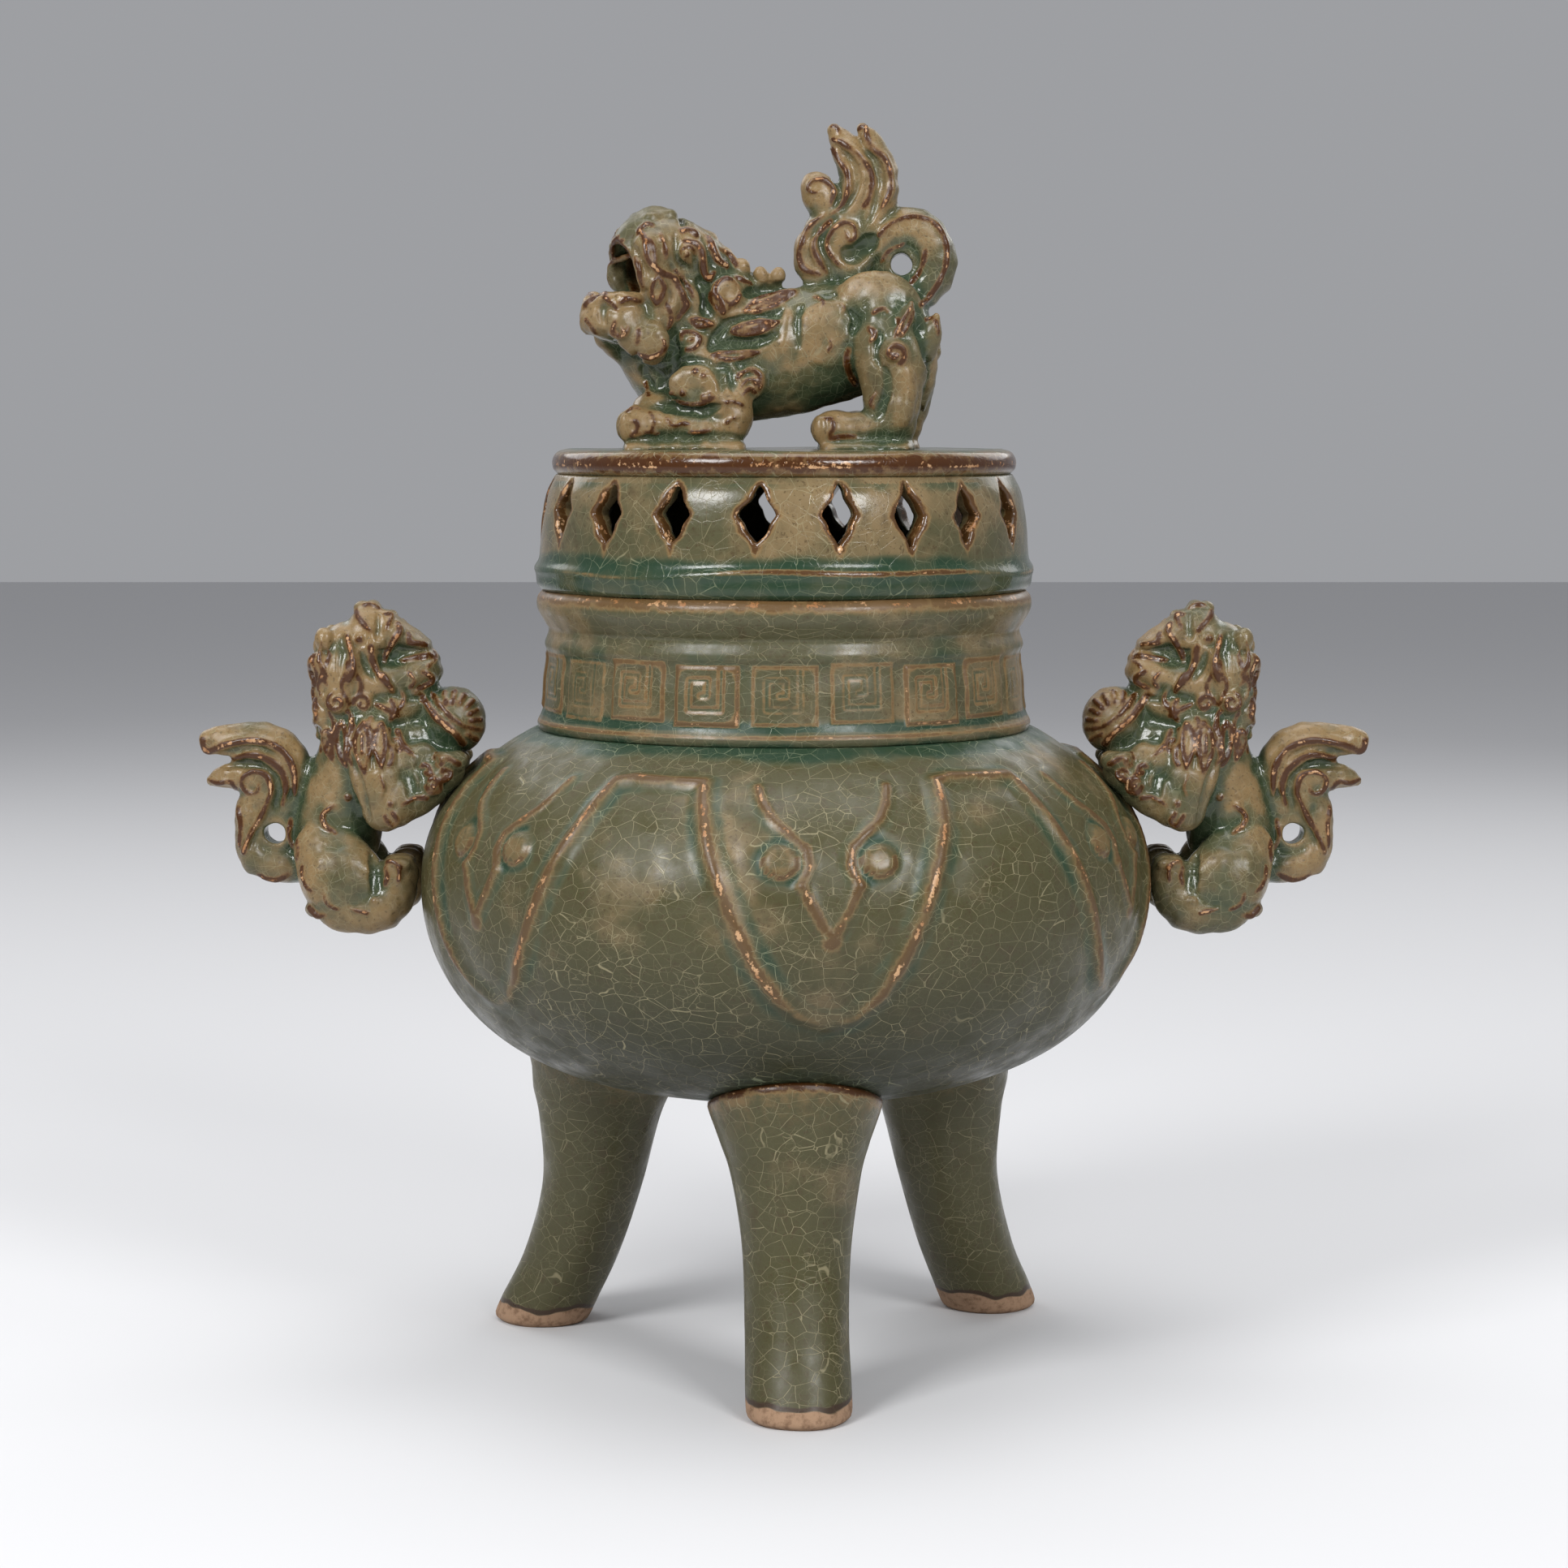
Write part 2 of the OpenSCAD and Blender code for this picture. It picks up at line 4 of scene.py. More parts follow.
import bpy
import numpy as np
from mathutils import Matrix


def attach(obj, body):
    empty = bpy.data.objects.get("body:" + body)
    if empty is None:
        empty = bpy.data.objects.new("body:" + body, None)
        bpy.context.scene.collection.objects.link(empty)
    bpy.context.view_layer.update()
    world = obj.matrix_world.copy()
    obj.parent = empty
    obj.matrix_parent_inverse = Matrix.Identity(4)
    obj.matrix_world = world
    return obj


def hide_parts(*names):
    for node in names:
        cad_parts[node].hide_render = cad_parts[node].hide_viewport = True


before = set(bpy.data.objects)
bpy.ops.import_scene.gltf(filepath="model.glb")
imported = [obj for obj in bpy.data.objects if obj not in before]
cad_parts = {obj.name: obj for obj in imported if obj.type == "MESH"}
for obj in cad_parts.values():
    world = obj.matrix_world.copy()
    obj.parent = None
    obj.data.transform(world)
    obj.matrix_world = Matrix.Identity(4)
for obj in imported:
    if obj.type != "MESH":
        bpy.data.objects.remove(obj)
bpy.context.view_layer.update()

MM = 0.001
rng = np.random.default_rng(11)

# Sizes in mm and turns in degrees, the same as the construction
BELLY_R, BELLY_Z, BELLY_RISE, BELLY_DROP = 87.0, 113.0, 47.5, 49.0
UPPER_CURVE, LOWER_CURVE, WALL = 2.2, 3.1, 5.5
NECK_Z, BORE = 150.0, 50.0
LID_Z, DECK_Z = 182.6, 215.6
VENTS, VENT_TURN, VENT_Z, VENT_WIDE, VENT_TALL = 19, -7.0, 201.4, 8.2, 14.0
LEG_TURNS = {"front_leg": 273.0, "right_leg": 38.0, "left_leg": 156.0}
LEG_CIRCLE, LEG_TOP = 47.5, 19.6

# On the finial x goes toward the tail, and heights are above the deck. Its head turns about a pivot at x
# and y, its mouth is at x, y and z, and the places on its flank are x and z
HEAD_TURN, HEAD_PIVOT, MOUTH = math.radians(28.0), (-20.0, 0.0), (-31.4, 0.0, 41.2)
FINIAL_EYE, FINIAL_EAR, FINIAL_KNEE = (-22.5, 45), (-13, 36.5), (25.5, 22)
# On a handle x goes outward from the bowl's axis, and heights are above the floor
HANDLE_EYE, HANDLE_BALL, BALL_R, SEAT = (99.8, 171.2), (78.6, 151.4), 7.9, 1.6
CHEEK_CURL, NECK_CURL = (105, 156.5), (99, 156)

# How fine the sculpting is, in mm between samples, and how far from the skin distances are kept
GRAIN = 0.58
LION_GRAIN = 0.54
FAR = 8.0
# How soft a limb's join is in mm, and how strong and wide the tint along a ridge is
LIMB_JOIN = 0.8
TINT, TINT_WIDTH = 1.2, 0.66
CORNERS = np.array([(a, b, c) for a in (0, 1) for b in (0, 1) for c in (0, 1)])


def spline(points, gap):
    """A smooth path through points, about gap mm apart. Numbers after the first three ride along."""
    p = np.asarray(points, float)
    q = np.vstack([2 * p[0] - p[1], p, 2 * p[-1] - p[-2]])
    out = []
    for a, b, c, d in zip(q[:-3], q[1:-2], q[2:-1], q[3:]):
        n = max(1, int(np.ceil(np.linalg.norm((c - b)[:3]) / gap)))
        t = np.arange(n)[:, None] / n
        square, cube = 2 * a - 5 * b + 4 * c - d, 3 * b - a - 3 * c + d
        out.append(0.5 * (2 * b + (c - a) * t + square * t**2 + cube * t**3))
    return np.vstack(out + [p[-1:]])


def blur(field, cells):
    """Box blur of a field along each axis, done twice."""
    width = 2 * cells + 1
    for axis in (0, 1, 2, 0, 1, 2):
        pad = [(cells + 1, cells) if a == axis else (0, 0) for a in range(3)]
        total = np.cumsum(np.pad(field, pad, mode="edge"), axis=axis, dtype=np.float32)
        n = field.shape[axis]
        high = np.take(total, np.arange(width, width + n), axis=axis)
        low = np.take(total, np.arange(0, n), axis=axis)
        field = (high - low) / width
    return field


class Clay:
    """Clay as signed distances on a grid. Shapes are pressed on or taken out, then the skin is meshed."""

    def __init__(self, low, high, step):
        self.step, self.low = step, np.array(low, float)
        count = np.ceil((np.array(high) - self.low) / step).astype(int) + 1
        self.axes = [self.low[i] + step * np.arange(count[i]) for i in range(3)]
        self.d = np.full(count, FAR, np.float32)
        self.line = np.zeros(count, np.float32)
        self.turn, self.pivot = 0.0, (0.0, 0.0)

    def swing(self, p, back=False):
        """Points turned with the head about its pivot, or turned back."""
        a = -self.turn if back else self.turn
        x, y = p[..., 0] - self.pivot[0], p[..., 1] - self.pivot[1]
        c, s = math.cos(a), math.sin(a)
        return np.stack([self.pivot[0] + c * x - s * y, self.pivot[1] + s * x + c * y, p[..., 2]], -1)

    def mirror(self, p):
        """Points on the near flank taken to the far flank, across the middle of the head or body."""
        return self.swing(self.swing(p, back=True) * (1, -1, 1))

    def box(self, points, reach):
        """The slices of the grid within reach of points."""
        low = np.floor((points.min(0) - reach - self.low) / self.step).astype(int)
        high = np.ceil((points.max(0) + reach - self.low) / self.step).astype(int) + 1
        return tuple(slice(max(a, 0), max(b, 0)) for a, b in zip(low, high))

    def places(self, cut):
        """The x, y and z of a part of the grid."""
        return np.meshgrid(*[axis[c] for axis, c in zip(self.axes, cut)], indexing="ij", sparse=True)

    def window(self, points, reach):
        """The part of the grid within reach of points of the turned head or body, with its own x, y and z."""
        cut = self.box(self.swing(np.asarray(points, float)[:, :3]), reach)
        x, y, z = self.places(cut)
        c, s = math.cos(self.turn), math.sin(self.turn)
        dx, dy = x - self.pivot[0], y - self.pivot[1]
        return cut, self.pivot[0] + c * dx + s * dy, self.pivot[1] - s * dx + c * dy, z

    def press(self, cut, d, soft, take=False):
        """Adds a shape to the clay with a soft join, or takes it out with a soft edge."""
        way = -1 if take else 1
        old = way * self.d[cut]
        h = np.maximum(soft - np.abs(old - d), 0.0)
        self.d[cut] = way * (np.minimum(old, d) - h * h / (4 * soft))

    def ball(self, centre, radii, soft=1.5, tilt=0.0, take=False):
        """An ellipsoid, tilted in the x-z plane by degrees."""
        r = np.broadcast_to(np.asarray(radii, float), 3)
        cut, x, y, z = self.window([centre], r.max() + soft + 4)
        c, s = math.cos(math.radians(tilt)), math.sin(math.radians(tilt))
        dx, dy, dz = x - centre[0], y - centre[1], z - centre[2]
        u, w = c * dx + s * dz, c * dz - s * dx
        k0 = np.sqrt((u / r[0]) ** 2 + (dy / r[1]) ** 2 + (w / r[2]) ** 2)
        k1 = np.sqrt((u / r[0] ** 2) ** 2 + (dy / r[1] ** 2) ** 2 + (w / r[2] ** 2) ** 2) + 1e-6
        self.press(cut, k0 * (k0 - 1) / k1, soft, take)

    def limb(self, rows, soft=LIMB_JOIN, take=False):
        """A tapering limb through rows of x, y, z, half depth, half width."""
        rows = spline(rows, 4.0)
        for a, b in zip(rows[:-1], rows[1:]):
            cut, x, y, z = self.window([a, b], max(a[3:].max(), b[3:].max()) + FAR)
            ux, uz = b[0] - a[0], b[2] - a[2]
            t = np.clip(((x - a[0]) * ux + (z - a[2]) * uz) / (ux * ux + uz * uz + 1e-9), 0, 1)
            depth, width = a[3] + t * (b[3] - a[3]), a[4] + t * (b[4] - a[4])
            flat = (x - a[0] - t * ux) ** 2 + (z - a[2] - t * uz) ** 2
            side = (y - a[1] - t * (b[1] - a[1])) ** 2
            k0 = np.sqrt(flat / depth**2 + side / width**2)
            k1 = np.sqrt(flat / depth**4 + side / width**4) + 1e-6
            self.press(cut, k0 * (k0 - 1) / k1, soft, take)

    def skin(self, x, z):
        """The y of the near flank's outside at each x and z, not a number where there is no clay."""
        i = np.clip(np.rint((x - self.low[0]) / self.step).astype(int), 0, self.d.shape[0] - 1)
        k = np.clip(np.rint((z - self.low[2]) / self.step).astype(int), 0, self.d.shape[2] - 1)
        columns = self.d[i, :, k]
        solid = columns < 0
        j = np.argmax(solid, axis=1)
        row = np.arange(len(j))
        outer, inner = columns[row, np.maximum(j - 1, 0)], columns[row, j]
        place = j - inner / np.minimum(inner - outer, -1e-6)
        return np.where(solid.any(axis=1), self.low[1] + self.step * place, np.nan)

    def rope(self, path, radii, reach):
        """Distance in the grid from the outside of a rope along a path, in the grid's own frame."""
        cut = self.box(path, reach)
        axes = [axis[c] for axis, c in zip(self.axes, cut)]
        d = np.full([len(a) for a in axes], FAR, np.float32)
        for a, b, ra, rb in zip(path[:-1], path[1:], radii[:-1], radii[1:]):
            lo = [np.searchsorted(axis, min(p, q) - reach) for axis, p, q in zip(axes, a, b)]
            hi = [np.searchsorted(axis, max(p, q) + reach) for axis, p, q in zip(axes, a, b)]
            part = tuple(slice(p, q) for p, q in zip(lo, hi))
            x, y, z = np.meshgrid(*[axis[s] for axis, s in zip(axes, part)], indexing="ij", sparse=True)
            u, dx, dy, dz = b - a, x - a[0], y - a[1], z - a[2]
            t = np.clip((dx * u[0] + dy * u[1] + dz * u[2]) / (u @ u + 1e-9), 0, 1)
            away = np.sqrt((dx - t * u[0]) ** 2 + (dy - t * u[1]) ** 2 + (dz - t * u[2]) ** 2)
            d[part] = np.minimum(d[part], away - (ra + t * (rb - ra)))
        return cut, d

    def tube(self, path, radius, soft=0.5, ends=0.45, groove=False):
        """A rope or groove along a path in the grid's own frame, thinner at its ends."""
        t = np.linspace(0, 1, len(path))
        r = radius * (ends + (1 - ends) * np.clip(np.minimum(t, 1 - t) * 5, 0, 1) ** 0.6)
        cut, d = self.rope(path, r, radius + soft + 2.5)
        self.press(cut, d, soft, take=groove)

    def mark(self, path, radius, tint):
        """Marks the clay as a drawn line along the crest of a ridge."""
        cut, d = self.rope(path, np.zeros(len(path)), 2 * radius + 1)
        near = TINT * tint * np.exp(-((d / (TINT_WIDTH * radius)) ** 2))
        self.line[cut] = np.maximum(self.line[cut], near)

    def stroke(self, points, radius=0.9, proud=0.25, groove=False, tint=1.0):
        """A ridge or groove on the near flank along points of x and z, and the same on the far flank."""
        p = spline([(x, 0.0, z) for x, z in points], 0.7)
        y = self.skin(p[:, 0], p[:, 2])
        good = np.isfinite(y)
        if good.sum() < 3:
            return
        p, y = p[good], y[good]
        for _ in range(6):
            y[1:-1] = 0.25 * y[:-2] + 0.5 * y[1:-1] + 0.25 * y[2:]
        p[:, 1] = y + (proud - 0.3 if groove else 0.3 - proud)
        crest = p - (0, 0.95 * radius, 0)
        for path, top in ((p, crest), (self.mirror(p), self.mirror(crest))):
            self.tube(path, radius, groove=groove)
            if tint and not groove:
                self.mark(top, radius, tint)

    def curl(self, centre, radius, turns=1.3, start=0.0, way=1, line=0.8, proud=0.2):
        """A spiral ridge on both flanks."""
        t = np.linspace(0, 1, 26)
        a = math.radians(start) + way * 2 * math.pi * turns * t
        r = radius * (1 - 0.82 * t)
        self.stroke(np.stack([centre[0] + r * np.cos(a), centre[1] + r * np.sin(a)], 1), line, proud)

    def lock(self, root, tip, bend=0.0, width=3.0, hairs=1):
        """A lock of hair on both flanks from root to tip: a low swell, two edges, and hairs between them."""
        a, b = np.array(root, float), np.array(tip, float)
        along = b - a
        across = np.array([-along[1], along[0]]) / np.linalg.norm(along)
        t = np.linspace(0, 1, 7)[:, None]
        swell = np.sin(math.pi * t**0.8)
        self.stroke(a + t * along + across * bend * swell, 0.45 * width, -0.25 * width, tint=0)
        for k in np.linspace(-1, 1, hairs + 2):
            edge = abs(k) == 1
            part = t if edge else 0.22 + 0.5 * t
            swell = np.sin(math.pi * part**0.8)
            self.stroke(a + part * along + across * (bend + 0.5 * k * width) * swell, 0.75 if edge else 0.6)

    def boss(self, centre, radii, sunk=0.4, soft=1.0, tint=0.0, take=False):
        """A round lump on both flanks at x and z, sunk by a share of its thickness, or a dent there."""
        y = self.skin(np.array([centre[0]]), np.array([centre[1]]))[0]
        if not np.isfinite(y):
            return
        near = self.swing(np.array([centre[0], y + radii[1] * sunk, centre[1]]), back=True)
        for spot in (near, near * (1, -1, 1)):
            self.ball(spot, radii, soft, take=take)
            if tint:
                w = self.swing(spot)
                cut = self.box(w[None], max(radii) + 2)
                x, y, z = self.places(cut)
                away = ((x - w[0]) ** 2 + (y - w[1]) ** 2 + (z - w[2]) ** 2) / max(radii) ** 2
                self.line[cut] = np.maximum(self.line[cut], tint * np.exp(-np.maximum(away - 0.6, 0) * 6))

    def smooth(self, size):
        """The clay's distances, blurred over about size mm."""
        return blur(np.clip(self.d, -FAR, FAR), max(1, round(size / self.step)))

    def flood(self, size, depth):
        """Thick glaze standing in the creases: they fill where the clay dips in by more than depth mm."""
        self.d = np.minimum(self.d, self.smooth(0.5 * size) + depth)

    def roughen(self, size, amount):
        """Unevenness of hand-worked clay, in lumps about size mm across."""
        field = blur(rng.standard_normal(self.d.shape, np.float32), max(1, round(0.5 * size / self.step)))
        self.d += amount * field / field.std()

    def settle(self):
        """Glaze in the last creases, then the lumps and grain of hand-worked clay."""
        self.flood(2.0, 0.3)
        self.roughen(4.0, 0.16)
        self.roughen(1.6, 0.06)

    def sample(self, field, p):
        """Values of a grid field at points."""
        q = (p - self.low) / self.step
        i = np.clip(np.floor(q).astype(int), 0, np.array(field.shape) - 2)
        f = np.clip(q - i, 0, 1)
        return sum(np.prod(np.where(c, f, 1 - f), axis=1) * field[tuple((i + c).T)] for c in CORNERS)

    def net(self):
        """A vertex in each cell that the skin crosses, and a quad round each edge that it crosses."""
        solid = self.d < 0
        size = [s - 1 for s in solid.shape]
        filled = np.zeros(size, np.int8)
        for a, b, c in CORNERS:
            filled += solid[a:a + size[0], b:b + size[1], c:c + size[2]]
        cells = np.argwhere((filled > 0) & (filled < len(CORNERS)))
        number = np.full(size, -1, np.int32)
        number[tuple(cells.T)] = np.arange(len(cells))
        total, weight = np.zeros((len(cells), 3)), np.zeros(len(cells))
        quads = []
        for axis in range(3):
            for p in CORNERS[CORNERS[:, axis] == 0]:
                here, there = [self.d[tuple((cells + q).T)] for q in (p, p + np.eye(3, dtype=int)[axis])]
                cross = (here < 0) != (there < 0)
                spot = np.tile(p.astype(float), (len(cells), 1))
                spot[:, axis] += np.where(cross, here / np.where(cross, here - there, 1), 0)
                total += spot * cross[:, None]
                weight += cross
            u, v = [k for k in range(3) if k != axis]
            here = np.take(solid, np.arange(0, solid.shape[axis] - 1), axis)
            there = np.take(solid, np.arange(1, solid.shape[axis]), axis)
            edge = np.argwhere(here != there)
            edge = edge[(edge[:, u] > 0) & (edge[:, v] > 0) & (edge[:, u] < size[u]) & (edge[:, v] < size[v])]
            ring = []
            for du, dv in ((1, 1), (0, 1), (0, 0), (1, 0)):
                cell = edge.copy()
                cell[:, u] -= du
                cell[:, v] -= dv
                ring.append(number[tuple(cell.T)])
            ring = np.stack(ring, 1)
            outward = here[tuple(edge.T)] != (axis == 1)
            quads.append(np.where(outward[:, None], ring, ring[:, ::-1]))
        return self.low + (cells + total / weight[:, None]) * self.step, np.vstack(quads)

    def skinned(self):
        """Skin vertices and quads; how much each place is ridge, crease or underside in painted shade; drawn
        line.
        """
        verts, faces = self.net()
        steps = 0.5 * self.step * np.eye(3)
        for _ in range(2):
            rise = [self.sample(self.d, verts + e) - self.sample(self.d, verts - e) for e in steps]
            slope = np.stack(rise, 1) / self.step
            steep = np.maximum((slope * slope).sum(1), 0.2)
            verts = verts - slope * (self.sample(self.d, verts) / steep)[:, None]
        fine, broad = [self.sample(self.smooth(size), verts) for size in (0.8, 2.6)]
        # Painted shade: skin that faces down counts with the creases, so it comes out greener and darker
        under = np.clip(-slope[:, 2], 0, 1)
        return verts, faces, {"ridge": fine, "hollow": 0.45 * under - broad,
                              "line": self.sample(self.line, verts)}


def object_of(name, verts, faces, marks, material, body, slot, nodes):
    """A smooth piece from verts in mm and blocks of faces, with its marks as vertex attributes."""
    corners = np.concatenate([block.ravel() for block in faces]).astype(np.int32)
    sizes = np.concatenate([np.full(len(block), block.shape[1]) for block in faces])
    mesh = bpy.data.meshes.new(name)
    mesh.vertices.add(len(verts))
    mesh.vertices.foreach_set("co", (np.asarray(verts) * MM).astype(np.float32).ravel())
    mesh.loops.add(len(corners))
    mesh.loops.foreach_set("vertex_index", corners)
    mesh.polygons.add(len(sizes))
    mesh.polygons.foreach_set("loop_start", (np.cumsum(sizes) - sizes).astype(np.int32))
    mesh.update(calc_edges=True)
    mesh.shade_smooth()
    for key in ("ridge", "hollow", "line"):
        values = np.broadcast_to(np.asarray(marks.get(key, 0.0), np.float32), len(verts))
        mesh.attributes.new(key, "FLOAT", "POINT").data.foreach_set("value", values.ravel())
    mesh.materials.append(material)
    piece = bpy.data.objects.new(name, mesh)
    bpy.context.scene.collection.objects.link(piece)
    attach(piece, body)
    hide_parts(*nodes)


def bowl_radius(z):
    """Outer radius of the bowl at a height, without its ornament."""
    up = np.clip((z - BELLY_Z) / BELLY_RISE, 0, 1)
    down = np.clip((BELLY_Z - z) / BELLY_DROP, 0, 1)
    upper = (1 - up**UPPER_CURVE) ** (1 / UPPER_CURVE)
    return BELLY_R * np.where(z >= BELLY_Z, upper, (1 - down**2) ** (1 / LOWER_CURVE))


def paw(clay, middle, radii, way):
    """A broad paw with four toes on its front. way is the toes' direction in x and z."""
    clay.ball(middle, radii, 1.5)
    long, short, lean = 0.74 * radii[2], 0.38 * radii[0], abs(way[1])
    toe = (short + lean * (long - short), 0.3 * radii[1], long + lean * (short - long))
    for k in (-1.5, -0.5, 0.5, 1.5):
        reach = 0.74 - 0.05 * k * k
        x, z = [middle[i] + w * radii[i] * reach for i, w in zip((0, 2), way)]
        clay.ball((x, middle[1] + k * radii[1] * 0.5, z), toe, 0.5)


# Drawing of the lions' flanks: what a line is, its radius, and the x and z that it runs through, all in mm.
# The finial's lines
HEAD_GROOVES = (
    ("eye to jaw", 1.2, [(-25, 49), (-24.5, 46), (-24, 43), (-22, 41)]),
    ("cheek to mane", 1.7, [(-19.5, 39.5), (-18.5, 37), (-17.5, 34), (-18, 32.5)]),
    ("cheek fold", 1.1, [(-27, 37), (-26.5, 34.5), (-27, 32)]),
    ("behind the lip", 1.3, [(-32, 36.5), (-31.5, 34), (-30.5, 30.5), (-29.5, 28)]),
    ("chin", 1.3, [(-41.5, 34), (-42, 31.5), (-41.5, 28.5)]),
    ("under the brow", 0.9, [(-21, 46), (-20.5, 43), (-20, 40.5)]),
    ("crown", 1.0, [(-19, 48.5), (-17.5, 45), (-16.5, 42.5)]),
    ("muzzle", 1.0, [(-34.5, 46.5), (-33, 43), (-31.5, 40)]),
)
HEAD_RIDGES = (
    ("nose to cheek", 1.0, [(-33.5, 50.5), (-32, 48.5), (-31.5, 44.5), (-30, 42), (-28, 40.5),
                            (-25.5, 39.5), (-24, 37), (-23, 34.5), (-22.5, 33), (-24.5, 30)]),
    ("nostril wing", 0.75, [(-34, 49.5), (-33, 51), (-31.5, 52), (-30, 51.5)]),
    ("beside the nose", 0.7, [(-31, 48.5), (-30, 46), (-29.5, 42.5)]),
    ("muzzle fold", 0.7, [(-28.5, 50), (-27.5, 47), (-27, 44)]),
    ("near lip", 0.8, [(-37.5, 48), (-36.5, 46.5), (-34.5, 44), (-33.5, 42), (-33, 39), (-32.5, 37)]),
    ("whisker flap", 0.75, [(-29.5, 40), (-27.5, 37.5), (-28.5, 34.5), (-29.5, 33.5)]),
    ("whisker edge", 0.75, [(-29.5, 39.5), (-30.5, 36.5), (-30, 34)]),
    ("second whisker", 0.7, [(-25, 41), (-23.5, 39.5), (-22, 37.5), (-21, 35)]),
    ("cheek strand", 0.8, [(-27, 33.5), (-26, 30.5), (-26.5, 28)]),
    ("brow", 1.0, [(-23, 48), (-20.5, 47.5), (-19, 45), (-18.5, 41), (-17.5, 39.5), (-16, 41)]),
    ("forehead lump", 1.1, [(-23.5, 50.5), (-22, 50.5), (-20, 49.5)]),
    ("crown lock", 1.1, [(-17.5, 49.5), (-16.5, 46.5), (-15, 43.5), (-13, 42.5)]),
    ("nape lock", 0.8, [(-14.5, 46.5), (-12.5, 45), (-11, 42.5)]),
    ("behind the ear", 0.7, [(-11, 40), (-9, 39), (-7, 38.5)]),
    ("ear lobe", 0.7, [(-13.5, 34), (-13, 32.5)]),
    ("far lip", 0.7, [(-38.5, 49), (-40, 47), (-40, 44)]),
    ("lower lip", 0.9, [(-46.5, 33), (-44.5, 34.5), (-42, 35.5), (-41, 36)]),
    ("lip fold", 0.7, [(-41.5, 35), (-39.5, 33.5), (-38.5, 32)]),
    ("lip by the cheek", 0.9, [(-38, 33.5), (-36, 34.5), (-33, 34)]),
    ("chin crease", 0.6, [(-46, 30), (-44.5, 28.5), (-43.5, 26.5)]),
)
BODY_GROOVES = (
    ("nape to withers", 1.5, [(-19, 36.5), (-18, 32.5), (-16, 30), (-14, 29)]),
    ("mane edge", 1.5, [(-12.5, 30), (-15.5, 26), (-17, 23)]),
    ("over the upper lock", 1.5, [(-9, 36), (-5.5, 36.5), (-0.5, 37.5), (3.5, 38.5)]),
    ("under the upper lock", 1.4, [(-13.5, 29.5), (-8, 30), (-3.5, 30.5), (0, 32)]),
    ("under the middle lock", 1.3, [(-16, 24), (-11, 24.5), (-5.5, 25), (-1.5, 26.5)]),
    ("under the lower lock", 1.4, [(-16.5, 19), (-13.5, 19), (-12, 17), (-11.5, 13.5)]),
    ("round the disc", 1.5, [(-27.5, 15), (-26, 18.5), (-22, 20), (-17.5, 19.5), (-14.5, 16), (-14.5, 13)]),
    ("under the disc", 1.5, [(-29, 10.5), (-24, 9.5), (-19, 9), (-14.5, 10)]),
    ("beard to chest", 1.3, [(-25.5, 27), (-25, 24), (-26, 21), (-30.5, 19.5)]),
    ("throat", 1.3, [(-34, 22), (-32.5, 17), (-30.5, 13.5)]),
    ("rib, first", 1.0, [(4, 33), (3.5, 28.5), (3.5, 23.5)]),
    ("rib, second", 0.9, [(8, 33), (8.5, 29), (8, 24.5)]),
    ("flank to haunch", 1.5, [(12, 36), (14.5, 33), (16.5, 29), (14, 24)]),
    ("thigh", 1.3, [(22, 27), (21.5, 23), (22, 19)]),
    ("shin, front", 1.4, [(23, 19), (24, 15), (23, 11), (21.5, 7)]),
    ("shin, back", 1.7, [(31, 28), (33, 22), (33, 14), (31, 6)]),
)
